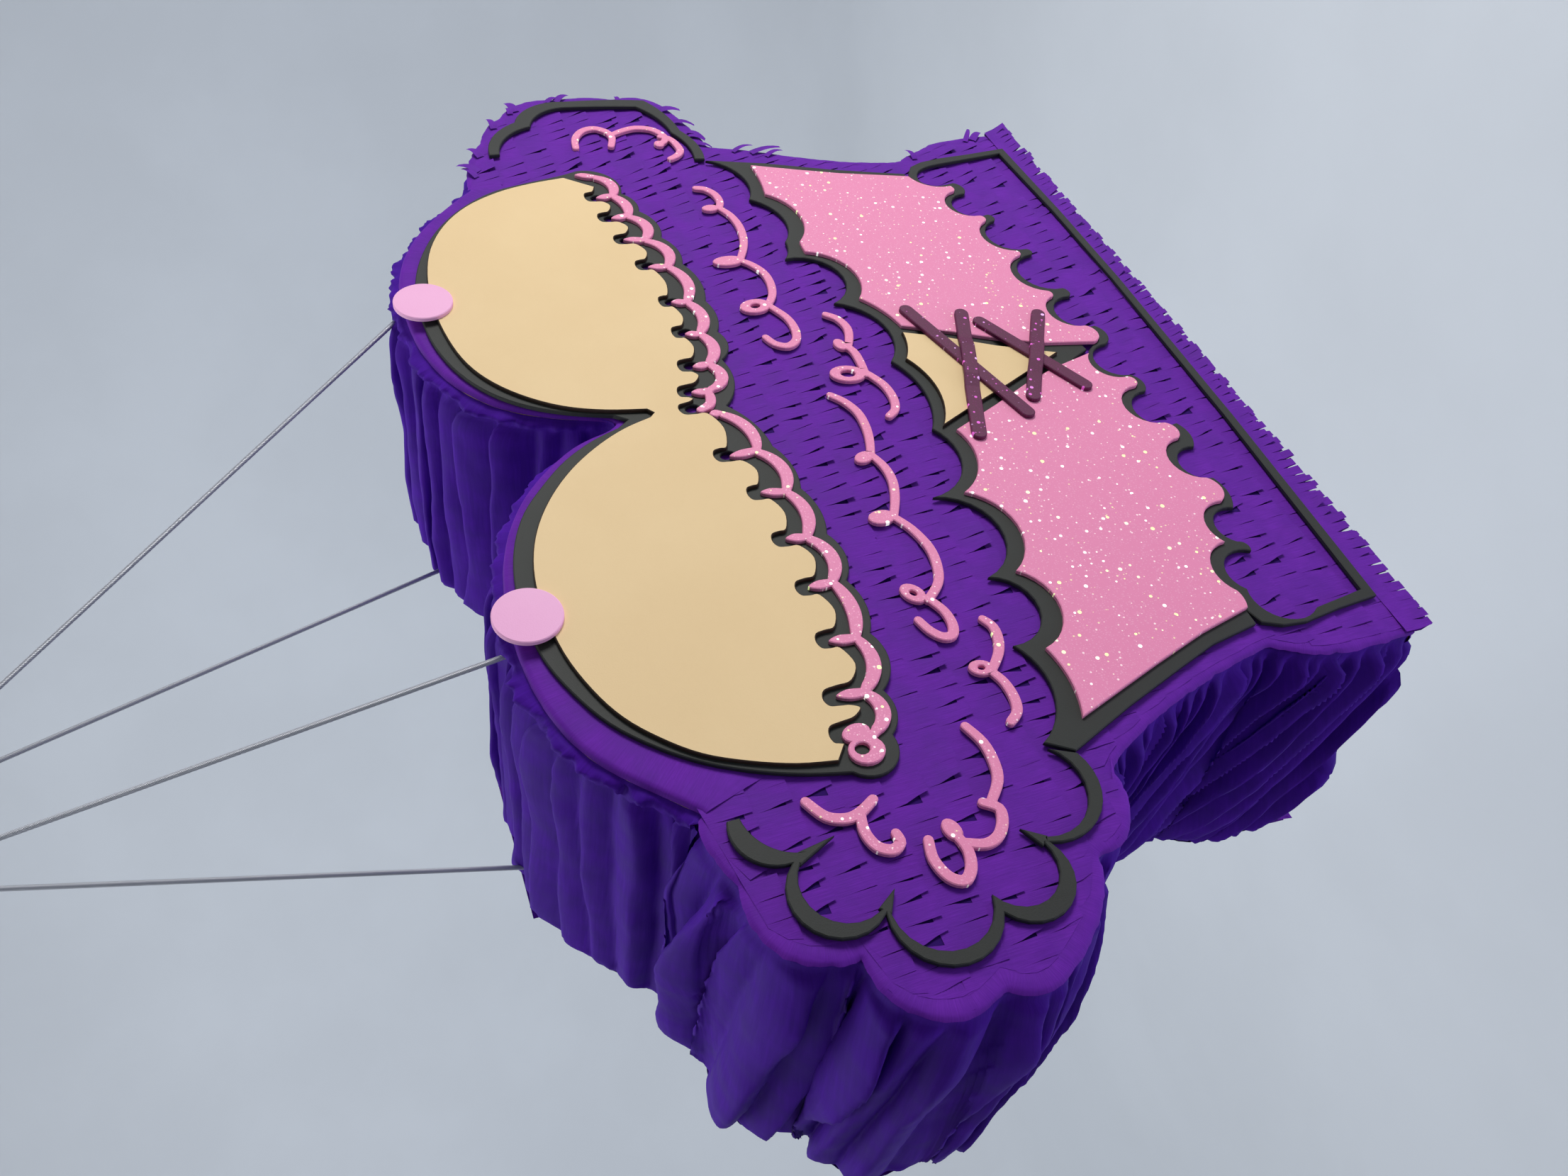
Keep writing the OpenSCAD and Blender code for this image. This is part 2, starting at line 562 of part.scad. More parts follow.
module waist_panel_right() {
    color(PINK) hung() foam(2) polygon(fit(concat(
        lobes([[41, 44], [56, 49], [68, 57], [86, 50], [114, 70.5], [119, 70.5], [124, 70], [147, 60.5],
            [173, 73], [188, 71], [204, 71]]),
        [[195, 45], [187, 20], [181, -5]],
        PANEL_LOW_RIGHT,
        [[12, -25], [21, -2], [31, 20]])));
}

module waist_skin() {
    color(SKIN) hung() foam(2) polygon(fit(concat(
        lobes([[-37, 56], [-12, 47], [15, 53], [25, 48], [36, 46]]),
        [[27, 24], [15, 0], [3, -30], [-15, 8], [-26, 33]])));
}

module hem_line() {
    color(BLACK) hung() foam(1) difference() {
        polygon(fit(concat(
            [[-187, -95], [-189, -72], [-192, -52], [-191, -40], [-187, -31]],
            flip(PANEL_LOW_LEFT),
            [[3, -50]],
            flip(PANEL_LOW_RIGHT),
            [[184, -24.5], [190, -28.5], [194, -37], [196.5, -52], [198, -72], [201, -98],
             [130, -101], [60, -102], [0, -101], [-60, -100]])));
        polygon(fit(concat(
            lobes([[-186, -62], [-179, -36], [-168, -36], [-156, -32.5], [-148, -52], [-145, -53],
                [-141, -49], [-130, -44], [-121, -60], [-111, -64], [-100, -62], [-90, -50.5],
                [-78, -65], [-69, -68.5], [-60, -66], [-48, -49], [-34, -63], [-27, -66], [-20, -62],
                [-10, -49], [6, -62], [14, -67.5], [22, -64], [33, -48], [49, -63], [53, -65.5],
                [57, -63], [70, -45], [90, -60], [93, -62.5], [96, -59], [109, -43], [126, -54.5],
                [130, -56], [133, -53], [144, -36], [156, -49], [163, -51.5], [168.5, -47]]),
            spline([[168.5, -47], [167, -36], [171, -29], [177, -27.5], [184, -31], [188.5, -40], [190.5, -52]]),
            [[193, -72], [195.5, -93], [130, -96.5], [60, -97.5], [0, -96.5], [-60, -95.5], [-182, -90]])));
    }
}

// --- Lacing and dots ------------------------------------------------------------------------

LACES = [for (l = [[[-51, 43], [46, 7]], [[-42, 9], [55, 38]], [[-31, 3], [37, -36]], [[-29, -32], [37.5, 3]]]) fit(l)];

// How far along line p from its start line q crosses it
function crossing(p, q) =
    let (way = unit(p[1] - p[0]), other = q[1] - q[0]) cross(q[0] - p[0], other) / cross(way, other);

// How far from the crossing strips p and q lie on each other
function shared(p, q) =
    let (turned = cross(unit(p[1] - p[0]), unit(q[1] - q[0])), along = unit(p[1] - p[0]) * unit(q[1] - q[0]))
    lace_w / 2 * (1 + abs(along)) / abs(turned);

// A foam strip; where it lies over strip q, it is lifted by the foam's thickness
module lace(i, q = -1) {
    LACE_RAMP = 8;
    from = LACES[i][0];
    to = LACES[i][1];
    length = norm(to - from);
    mid = q < 0 ? length / 2 : crossing(LACES[i], LACES[q]);
    half = q < 0 ? 1 : shared(LACES[i], LACES[q]) + 2 * CLEAR;
    hump = q < 0 ? 0 : foam_t + CLEAR / 3;
    profile = [[0, 0], [mid - half - LACE_RAMP, 0], [mid - half, hump], [mid + half, hump],
               [mid + half + LACE_RAMP, 0], [length, 0]];
    color(PLUM) hung() translate([from.x, -crepe_t - 2 * foam_t, from.y])
        rotate([0, -angle_of(to - from), 0]) intersection() {
            translate([0, 0, -lace_w / 2]) linear_extrude(lace_w) polygon(concat(
                [for (q = profile) [q.x, -q.y]], [for (q = flip(profile)) [q.x, -q.y - foam_t]]));
            rotate([90, 0, 0]) linear_extrude(4 * foam_t) polygon(concat(
                [for (t = [90:20:270]) [lace_w / 2 + lace_w / 2 * cos(t), lace_w / 2 * sin(t)]],
                [for (t = [-90:20:90]) [length - lace_w / 2 + lace_w / 2 * cos(t), lace_w / 2 * sin(t)]]));
        }
}

module dot(place) {
    color(PALE_PINK) hung() foam(3) translate([place.x * kx, place.y * kz]) circle(d = dot_d, $fn = 48);
}

// --- Filler flap ----------------------------------------------------------------------------

module flap_slab(y0, y1, inset) {
    hung() slab(y0, y1) translate([flap_mid.x, FLAP_TOP - flap_h / 2])
        square([flap_w - 2 * inset, flap_h - 2 * inset], center = true);
}

module flap_panel() {
    color(CARD) flap_slab(BACK - panel_t, BACK, 0);
}

module flap_crepe() {
    color(PURPLE) flap_slab(BACK, BACK + crepe_t, 0);
}

// Tape above the fold, on the body, and below it, on the flap
module flap_tape(z0, z1) {
    color(TAPE) hung() slab(BACK + crepe_t, HINGE_Y)
        translate([flap_mid.x - flap_w / 2, z0]) square([flap_w, z1 - z0]);
}

// A folded ribbon tab under the flap's lower edge, to pull it open by
module flap_tab() {
    tab_w = 24;
    above = 12;
    below = 16;
    face = BACK + crepe_t;
    color(TAPE) hung() translate([flap_mid.x - tab_w / 2, 0, FLAP_TOP - flap_h])
        rotate([90, 0, 90]) linear_extrude(tab_w) polygon([
            [face, above], [face, 1], [face + CLEAR, 1], [face + CLEAR, -below],
            [face + CLEAR + tape_t, -below], [face + CLEAR + tape_t, above]]);
}

// --- Hanging --------------------------------------------------------------------------------

// The ring's wire has flats on its inner and outer walls
module hang_ring() {
    half = ring_wire / 2;
    flat = half * 0.45;
    color(SILVER) rotate([90, 0, 0]) rotate_extrude($fn = 96) polygon([
        [ring_r, -flat], [ring_r + half - flat, -half], [ring_r + half + flat, -half],
        [ring_r + ring_wire, -flat], [ring_r + ring_wire, flat], [ring_r + half + flat, half],
        [ring_r + half - flat, half], [ring_r, flat]]);
}

// Middle of the cord loop on one side of the ring, and of the knot under it
function loop_place(side) = [side * LOOP_X, 0, -LOOP_DROP];
function knot_place(side) = loop_place(side) - [0, 0, KNOT_DROP];

// Where a cord passes through the card, in the ring's frame
function hole_place(holes, back) =
    [holes[back].x, back == 0 ? hole_inset : BACK - hole_inset, holes[back].y] - HANG;
// Top end of a cord, at the side of its knot
function cord_top(side, back) = knot_place(side) + [0, back == 0 ? -1.6 : 1.6, -1.5];
function cord_way(holes, side, back) = unit(cord_top(side, back) - hole_place(holes, back));

// Points d at the cord's hole, with +Z up the cord; for the drawn frame
module along_cord(holes, side, back) {
    way = cord_way(holes, side, back);
    translate(hole_place(holes, back) + HANG)
        rotate([0, acos(way.z), atan2(way.y, way.x)]) children();
}

// The route of a taut cord, from its stopper knot inside the card to the knot under the ring
CORD_RINGS = 18;
CORD_SIDES = 8;
function cord_route(holes, side, back) =
    let (low = hole_place(holes, back) - cord_way(holes, side, back) * CORD_TAIL, high = cord_top(side, back))
    [for (i = [0:CORD_RINGS - 1]) low + (high - low) * i / (CORD_RINGS - 1)];

// A tube of the cord's diameter along a route
module tube(route) {
    way = unit(route[len(route) - 1] - route[0]);
    across = unit(cross(way, [0, 1, 0]));
    other = cross(way, across);
    last = len(route) - 1;
    points = [for (p = route) for (k = [0:CORD_SIDES - 1])
        p + cord_d / 2 * (across * cos(360 * k / CORD_SIDES) + other * sin(360 * k / CORD_SIDES))];
    walls = [for (i = [0:last - 1]) for (k = [0:CORD_SIDES - 1]) let (n = (k + 1) % CORD_SIDES)
        [i * CORD_SIDES + k, (i + 1) * CORD_SIDES + k, (i + 1) * CORD_SIDES + n, i * CORD_SIDES + n]];
    ends = [[for (k = [0:CORD_SIDES - 1]) k], [for (k = [CORD_SIDES - 1:-1:0]) last * CORD_SIDES + k]];
    polyhedron(points, concat(walls, ends));
}

module cord(holes, side, back) {
    color(SILVER) tube(cord_route(holes, side, back));
}

// The cord's loop round the ring and the knot that closes it
module knot(side) {
    color(SILVER) {
        translate(loop_place(side)) rotate([0, 90, 0])
            rotate_extrude($fn = 32) translate([loop_r, 0]) circle(d = cord_d, $fn = 16);
        translate(knot_place(side)) sphere(r = KNOT_R, $fn = 24);
    }
}

// Card discs that stop the cords inside the cups
module anchor_discs() {
    color(CARD) hung() each_cord() translate([0, 0, -CORD_TAIL + STOP_R + CLEAR]) difference() {
        cylinder(r = DISC_R, h = DISC_T, $fn = 32);
        translate([0, 0, -1]) cylinder(d = cord_d + 0.6, h = DISC_T + 2, $fn = 24);
    }
}

module anchor_knots() {
    color(SILVER) hung() each_cord() translate([0, 0, -CORD_TAIL]) sphere(r = STOP_R, $fn = 24);
}

module each_cord() {
    for (back = [0, 1]) {
        along_cord(HOLES_LEFT, -1, back) children();
        along_cord(HOLES_RIGHT, 1, back) children();
    }
}

// --- The pieces -----------------------------------------------------------------------------

front_panel();
back_panel();
wall(0);  // wall_waist_left
wall(1);  // wall_ruffle_left
dome_wall(2, HOLES_LEFT, -1);  // wall_dome_left
dome_wall(3, HOLES_RIGHT, 1);  // wall_dome_right
wall(4);  // wall_ruffle_right
wall(5);  // wall_waist_right
wall_hem();
crepe_front();
crepe_back();
gathered(START[0], START[1]);  // crepe_waist_left
gathered(START[1], START[2]);  // crepe_ruffle_left
dome_crepe(START[2], START[3] - CLEFT_POINTS, HOLES_LEFT, -1);  // crepe_dome_left
dome_crepe(START[3] + CLEFT_POINTS, START[4], HOLES_RIGHT, 1);  // crepe_dome_right
gathered(START[4], START[5]);  // crepe_ruffle_right
gathered(START[5], START[6]);  // crepe_waist_right
gathered(len(OUTLINE) - 1, len(OUTLINE));  // crepe_hem
hem_fringe(-crepe_t);  // hem_fringe_front
hem_fringe(BACK);  // hem_fringe_back
cup_backing();
cup_skin();
cup_trim_left();
cup_trim_right();
swirl_ruffle_left_top();
swirl_ruffle_left_low();
swirl_band_left_short();
swirl_band_left_long();
swirl_band_middle();
swirl_band_right_long();
swirl_ruffle_right();
ruffle_line_left();
ruffle_line_right();
waist_backing();
waist_panel_left();
waist_panel_right();
waist_skin();
hem_line();
lace(0, 1);  // lace_1
lace(1);  // lace_2
lace(2, 3);  // lace_3
lace(3);  // lace_4
dot([-106.5, 275.3]);  // dot_left
dot([106, 279]);  // dot_right
flap_panel();
flap_crepe();
flap_tape(FLAP_TOP + flap_gap, FLAP_TOP + flap_gap + tape_h);  // flap_tape_fixed
flap_tape(FLAP_TOP - tape_h, FLAP_TOP);  // flap_tape_moving
flap_tab();
hang_ring();
knot(-1);  // knot_left
knot(1);  // knot_right
cord(HOLES_LEFT, -1, 0);  // cord_front_left
cord(HOLES_RIGHT, 1, 0);  // cord_front_right
cord(HOLES_LEFT, -1, 1);  // cord_back_left
cord(HOLES_RIGHT, 1, 1);  // cord_back_right
anchor_discs();
anchor_knots();
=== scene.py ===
"""Looks of a hanging corset-top pinata: crepe paper covers, cut foam trim, cords, filler flap and studio.

The card box, the ring and the small card parts keep their own shapes and get finishes here. The crepe
paper, the foam, the cords, their knots, the tape and the pull tab are modelled here, in the places
that the frame gives them. All sizes are in metres.
"""
import bisect
import logging
import math
import random
from collections.abc import Callable, Iterable, Sequence
from dataclasses import dataclass, field, replace
from enum import Enum
from functools import cache

import bmesh
import bpy
from mathutils import Matrix, Vector, noise
from mathutils.bvhtree import BVHTree


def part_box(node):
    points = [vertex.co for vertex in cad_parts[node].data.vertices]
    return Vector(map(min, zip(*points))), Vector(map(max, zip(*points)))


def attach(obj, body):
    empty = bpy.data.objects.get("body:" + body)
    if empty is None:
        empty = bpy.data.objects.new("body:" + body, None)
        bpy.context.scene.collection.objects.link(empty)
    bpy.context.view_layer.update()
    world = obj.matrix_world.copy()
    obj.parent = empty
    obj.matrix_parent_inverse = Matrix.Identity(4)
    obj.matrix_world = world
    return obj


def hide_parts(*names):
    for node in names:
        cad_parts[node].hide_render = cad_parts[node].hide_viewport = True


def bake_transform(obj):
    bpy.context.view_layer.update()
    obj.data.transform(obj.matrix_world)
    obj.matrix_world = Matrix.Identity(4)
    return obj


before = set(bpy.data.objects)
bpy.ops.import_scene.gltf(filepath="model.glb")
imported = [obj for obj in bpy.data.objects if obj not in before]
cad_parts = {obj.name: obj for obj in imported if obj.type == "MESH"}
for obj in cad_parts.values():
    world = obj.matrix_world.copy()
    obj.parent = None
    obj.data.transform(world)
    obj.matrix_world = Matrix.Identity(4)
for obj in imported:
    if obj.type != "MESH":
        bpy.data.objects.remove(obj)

log = logging.getLogger("pinata")

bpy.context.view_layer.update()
ROW_PITCH = 0.0168      # from one fringe row to the next
ROW_OVERLAP = 0.0035    # what a row hides of the one below
WELD = 1e-6


class Body(str, Enum):
    """The rigid bodies that pieces ride on."""

    PINATA = "pinata"
    FLAP = "flap"


class Facing(Enum):
    """Which way a flat cover faces: the sign of its outward Y."""

    FRONT = -1
    BACK = 1


# --- Shared helpers ---------------------------------------------------------------------------


def srgb(red: int, green: int, blue: int) -> tuple[float, float, float, float]:
    """Returns a screen colour from 0 to 255 as a linear colour.

    Args:
        red: Red, 0 to 255.
        green: Green, 0 to 255.
        blue: Blue, 0 to 255.

    Returns:
        The linear colour with full alpha.
    """
    parts = [v / 255 for v in (red, green, blue)]
    linear = [p / 12.92 if p <= 0.04045 else ((p + 0.055) / 1.055) ** 2.4 for p in parts]
    return (*linear, 1.0)


def wave(x: float, y: float = 0.0, z: float = 0.0) -> float:
    """Returns smooth noise from about -1 to 1 at a place."""
    return noise.noise(Vector((x, y, z)))


def smooth(low: float, high: float, value: float) -> float:
    """Returns 0 below low, 1 above high, and a smooth step between them."""
    t = min(1.0, max(0.0, (value - low) / (high - low)))
    return t * t * (3 - 2 * t)


def finished(name: str, bm: bmesh.types.BMesh, material: bpy.types.Material,
             is_smooth: bool = True) -> bpy.types.Object:
    """Turns a bmesh into a scene object with one material.

    Args:
        name: The piece's name.
        bm: Its mesh, which is freed.
        material: Its finish.
        is_smooth: Whether its faces are shaded smooth.

    Returns:
        The new object, at the origin.
    """
    mesh = bpy.data.meshes.new(name)
    for face in bm.faces:
        face.smooth = is_smooth
    bm.to_mesh(mesh)
    bm.free()
    mesh.materials.append(material)
    piece = bpy.data.objects.new(name, mesh)
    bpy.context.scene.collection.objects.link(piece)
    log.info("%s: %d faces", name, len(mesh.polygons))
    return piece


def settle(piece: bpy.types.Object, body: Body, stands_for: Iterable[str] = ()) -> bpy.types.Object:
    """Puts a finished piece on its body and hides the CAD nodes that it stands for.

    Args:
        piece: The piece.
        body: The body that it moves with.
        stands_for: The CAD nodes that it replaces.

    Returns:
        The piece.
    """
    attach(piece, body.value)
    if stands_for:
        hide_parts(*stands_for)
    return piece


def grid(bm: bmesh.types.BMesh, columns: int, rows: int) -> dict[tuple[int, int], bmesh.types.BMVert]:
    """Adds a flat grid and returns its corners by column and row.

    Args:
        bm: The mesh to add to.
        columns: Number of faces across.
        rows: Number of faces up.

    Returns:
        Each vertex by its column and row, both from 0.
    """
    made = bmesh.ops.create_grid(bm, x_segments=columns, y_segments=rows, size=0.5)
    return {(round((v.co.x + 0.5) * columns), round((v.co.y + 0.5) * rows)): v for v in made["verts"]}


def mark_uv(bm: bmesh.types.BMesh, places: dict[bmesh.types.BMVert, tuple[float, float]]) -> None:
    """Writes a UV map that holds each vertex's place on its flat sheet, in metres."""
    layer = bm.loops.layers.uv.verify()
    for vert, place in places.items():
        for loop in vert.link_loops:
            loop[layer].uv = place


def face_towards(bm: bmesh.types.BMesh, probe: bmesh.types.BMVert, way: Vector) -> None:
    """Turns a whole sheet round when its normal at a probe vertex points away from a direction."""
    bm.normal_update()
    if probe.normal.dot(way) < 0:
        bmesh.ops.reverse_faces(bm, faces=bm.faces)


def face_out(bm: bmesh.types.BMesh, facing: Facing) -> None:
    """Turns round each face that points away from a flat cover's outside."""
    bm.normal_update()
    bmesh.ops.reverse_faces(bm, faces=[f for f in bm.faces if f.normal.y * facing.value < 0])


def tube(bm: bmesh.types.BMesh, path: Sequence[Vector], radius: float, sides: int, strands: int, twist: float) -> None:
    """Adds a twisted cord's surface round a path.

    Args:
        bm: The mesh to add to.
        path: The points of its centreline.
        radius: The radius over its strands.
        sides: Faces round it.
        strands: The number of twisted strands.
        twist: The length of one full turn.
    """
    rings = len(path) - 1
    corners = grid(bm, sides, rings)
    across = None
    run = 0.0
    places = {}
    for ring in range(rings + 1):
        way = (path[min(ring + 1, rings)] - path[max(ring - 1, 0)]).normalized()
        if across is None:
            across = way.orthogonal().normalized()
        across = (across - way * across.dot(way)).normalized()
        other = way.cross(across)
        if ring:
            run += (path[ring] - path[ring - 1]).length
        for side in range(sides + 1):
            angle = math.tau * side / sides
            lay = angle * strands / 2 - math.pi * strands * run / twist
            reach = radius * (0.86 + 0.14 * abs(math.cos(lay)))
            vert = corners[(side, ring)]
            vert.co = path[ring] + (across * math.cos(angle) + other * math.sin(angle)) * reach
            places[vert] = (run, angle / math.tau * math.pi * 2 * radius)
    mark_uv(bm, places)
    bmesh.ops.remove_doubles(bm, verts=list(corners.values()), dist=radius * 0.01)
    rims = [e for e in bm.edges if e.is_boundary]
    bmesh.ops.holes_fill(bm, edges=rims, sides=0)
    bmesh.ops.recalc_face_normals(bm, faces=bm.faces)


# --- Shader node groups -----------------------------------------------------------------------


class NodeBench:
    """Adds and wires the nodes of one tree."""

    def __init__(self, tree: bpy.types.NodeTree) -> None:
        """Keeps the tree that nodes are added to."""
        self.tree = tree

    def add(self, kind: str, settings: dict | None = None, **inputs: object) -> bpy.types.Node:
        """Adds a node.

        Args:
            kind: The node type's identifier without its ShaderNode prefix.
            settings: Values for the node's own properties.
            **inputs: A socket to link, or a value, for each input by its name with _ for spaces.

        Returns:
            The node.
        """
        node = self.tree.nodes.new(kind if kind.startswith("NodeGroup") else "ShaderNode" + kind)
        for key, value in (settings or {}).items():
            setattr(node, key, value)
        for key, value in inputs.items():
            self.join(node, key, value)
        return node

    def join(self, node: bpy.types.Node, key: str, value: object) -> None:
        """Links or sets one input, which is named, or given by number as i0, i1 and so on."""
        if key[0] == "i" and key[1:].isdigit():
            socket = node.inputs[int(key[1:])]
        else:
            socket = node.inputs[key.replace("_", " ")]
        if isinstance(value, bpy.types.NodeSocket):
            self.tree.links.new(value, socket)
        else:
            socket.default_value = value

    def maths(self, operation: str, a: object, b: object = 0.5, c: object = 0.5) -> bpy.types.NodeSocket:
        """Adds a Math node and returns its output."""
        return self.add("Math", {"operation": operation}, i0=a, i1=b, i2=c).outputs[0]

    def mix(self, factor: object, a: object, b: object) -> bpy.types.NodeSocket:
        """Mixes two colours and returns the result."""
        node = self.add("Mix", {"data_type": "RGBA"})
        self.join(node, "i0", factor)
        self.join(node, "i6", a)
        self.join(node, "i7", b)
        return node.outputs[2]

    def step(self, value: object, low: float, high: float) -> bpy.types.NodeSocket:
        """Maps a value smoothly from low..high to 0..1."""
        node = self.add("MapRange", {"interpolation_type": "SMOOTHSTEP"}, Value=value)
        node.inputs["From Min"].default_value = low
        node.inputs["From Max"].default_value = high
        return node.outputs[0]

    def grain(self, place: object, scale: float, detail: float = 3.0, rough: float = 0.55) -> bpy.types.NodeSocket:
        """Adds a Noise Texture and returns its value."""
        return self.add("TexNoise", None, Vector=place, Scale=scale, Detail=detail, Roughness=rough).outputs[0]


class Groups:
    """The shared node groups, each built the first time that it is asked for."""

    @staticmethod
    def start(name: str, inputs: dict[str, float],
              outputs: Sequence[str]) -> tuple[NodeBench, bpy.types.Node, bpy.types.Node]:
        """Makes an empty group.

        Args:
            name: The group's name.
            inputs: Its float inputs after the Vector input, with their usual values.
            outputs: Its float outputs.

        Returns:
            The bench that adds nodes to it, its input node and its output node.
        """
        tree = bpy.data.node_groups.new(name, "ShaderNodeTree")
        tree.interface.new_socket("Vector", in_out="INPUT", socket_type="NodeSocketVector")
        for label, value in inputs.items():
            socket = tree.interface.new_socket(label, in_out="INPUT", socket_type="NodeSocketFloat")
            socket.default_value = value
        for label in outputs:
            tree.interface.new_socket(label, in_out="OUTPUT", socket_type="NodeSocketFloat")
        bench = NodeBench(tree)
        return bench, bench.add("NodeGroupInput"), bench.add("NodeGroupOutput")

    @staticmethod
    def drawn_out(bench: NodeBench, place: object, first: object, others: object) -> bpy.types.NodeSocket:
        """Stretches a place by one factor on its first axis and another on the others."""
        factors = bench.add("CombineXYZ", None, X=first, Y=others, Z=others).outputs[0]
        return bench.add("VectorMath", {"operation": "MULTIPLY"}, i0=place, i1=factors).outputs[0]

    @classmethod
    @cache
    def crimps(cls) -> bpy.types.NodeTree:
        """Crepe paper's fine crimps, which run along the second axis, and its soft blotches."""
        bench, source, sink = cls.start("crepe_crimps", {"Across": 1700.0, "Along": 90.0}, ("Height", "Blotch"))
        place = source.outputs["Vector"]
        drawn = cls.drawn_out(bench, place, source.outputs["Across"], source.outputs["Along"])
        lines = bench.grain(drawn, 1.0, 4.0, 0.6)
        edges = bench.add("TexVoronoi", {"feature": "DISTANCE_TO_EDGE"}, Vector=place, Scale=48.0).outputs[0]
        bench.join(sink, "Height", bench.maths("MULTIPLY_ADD", bench.step(edges, 0.0, 0.05), 0.05, lines))
        bench.join(sink, "Blotch", bench.grain(place, 55.0, 3.0))
        return bench.tree

    @classmethod
    @cache
    def flecks(cls) -> bpy.types.NodeTree:
        """Round flecks scattered over the front plane, with a random value for each."""
        usual = {"Scale": 700.0, "Share": 0.35, "Reach": 0.2}
        bench, source, sink = cls.start("glitter_flecks", usual, ("Spot", "Random"))
        parts = bench.add("SeparateXYZ", None, Vector=source.outputs["Vector"])
        flat = bench.add("CombineXYZ", None, X=parts.outputs["X"], Y=parts.outputs["Z"]).outputs[0]
        cells = bench.add("TexVoronoi", {"feature": "F1", "voronoi_dimensions": "2D"}, Vector=flat,
                          Scale=source.outputs["Scale"])
        pick = bench.add("SeparateColor", None, Color=cells.outputs["Color"])
        spread = bench.maths("MULTIPLY_ADD", pick.outputs[2], 0.7, 0.5)
        size = bench.maths("MULTIPLY", source.outputs["Reach"], spread)
        near = bench.maths("SUBTRACT", size, cells.outputs["Distance"])
        chosen = bench.maths("LESS_THAN", pick.outputs[0], source.outputs["Share"])
        bench.join(sink, "Spot", bench.maths("MULTIPLY", bench.step(near, 0.0, 0.04), chosen))
        bench.join(sink, "Random", pick.outputs[1])
        return bench.tree

    @classmethod
    @cache
    def pores(cls) -> bpy.types.NodeTree:
        """The closed pores and faint mottle of foam sheet."""
        bench, source, sink = cls.start("foam_pores", {"Pores": 1400.0, "Mottle": 14.0}, ("Height", "Mottle"))
        place = source.outputs["Vector"]
        cells = bench.add("TexVoronoi", {"feature": "F1"}, Vector=place, Scale=source.outputs["Pores"])
        soft = bench.add("TexNoise", None, Vector=place, Scale=source.outputs["Mottle"], Detail=4.0)
        bench.join(sink, "Height", bench.step(cells.outputs["Distance"], 0.1, 0.6))
        bench.join(sink, "Mottle", soft.outputs[0])
        return bench.tree

    @classmethod
    @cache
    def fibres(cls) -> bpy.types.NodeTree:
        """Paper fibres for card and tape."""
        bench, source, sink = cls.start("paper_fibres", {"Length": 60.0, "Width": 900.0}, ("Fibre", "Blotch"))
        place = source.outputs["Vector"]
        drawn = cls.drawn_out(bench, place, source.outputs["Length"], source.outputs["Width"])
        bench.join(sink, "Fibre", bench.grain(drawn, 1.0, 4.0, 0.65))
        bench.join(sink, "Blotch", bench.grain(place, 30.0, 3.0))
        return bench.tree


# --- Finishes ---------------------------------------------------------------------------------


@dataclass(frozen=True)
class Finish:
    """A surface finish: its name, its two colours and how rough it is."""

    name: str
    colour: tuple[float, float, float, float]
    second: tuple[float, float, float, float]
    roughness: float = 0.7

    def material(self) -> bpy.types.Material:
        """Returns the finish as a material, made the first time it is asked for."""
        found = bpy.data.materials.get(self.name)
        if found is None:
            found = bpy.data.materials.new(self.name)
            found.use_nodes = True
            bench = NodeBench(found.node_tree)
            shader = found.node_tree.nodes["Principled BSDF"]
            shader.inputs["Roughness"].default_value = self.roughness
            self.wire(bench, shader)
        return found

    def wire(self, bench: NodeBench, shader: bpy.types.Node) -> None:
        """Wires the plain colour. Each kind of finish has its own."""
        bench.join(shader, "Base_Color", self.colour)

    @staticmethod
    def bump(bench: NodeBench, shader: bpy.types.Node, height: object, strength: float, distance: float) -> None:
        """Feeds a height through a Bump node to the shader's normal."""
        node = bench.add("Bump", None, Height=height)
        node.inputs["Strength"].default_value = strength
        node.inputs["Distance"].default_value = distance
        bench.join(shader, "Normal", node.outputs[0])


@dataclass(frozen=True)
class CrepePaper(Finish):
    """Crepe paper: fine crimps with painted shade darkening their valleys and creases, faint blotches and a soft sheen.
    """

    sheen: float = 0.25
    across: float = 1700.0
    along: float = 90.0
    bump_depth: float = 0.00022

    def wire(self, bench: NodeBench, shader: bpy.types.Node) -> None:
        """Wires crimps on the sheet's own UV map."""
        place = bench.add("UVMap").outputs[0]
        group = bench.add("Group", {"node_tree": Groups.crimps()}, Vector=place, Across=self.across, Along=self.along)
        tone = bench.step(group.outputs["Blotch"], 0.3, 0.72)
        streak = bench.step(group.outputs["Height"], 0.35, 1.0)
        base = bench.mix(tone, self.colour, self.second)
        # Painted shade: the colour is darkened towards half black along the crimps' valleys and creases.
        darker = bench.mix(0.5, self.colour, (0.0, 0.0, 0.0, 1.0))
        shade = bench.maths("MULTIPLY", bench.maths("SUBTRACT", 1.0, streak), 0.45)
        bench.join(shader, "Base_Color", bench.mix(shade, base, darker))
        bench.join(shader, "Roughness", bench.maths("MULTIPLY_ADD", tone, 0.14, self.roughness - 0.07))
        shader.inputs["Sheen Weight"].default_value = self.sheen
        shader.inputs["Sheen Roughness"].default_value = 0.45
        shader.inputs["Sheen Tint"].default_value = (0.55, 0.38, 1.0, 1.0)
        shader.inputs["Specular IOR Level"].default_value = 0.1
        self.bump(bench, shader, group.outputs["Height"], 0.55, self.bump_depth)


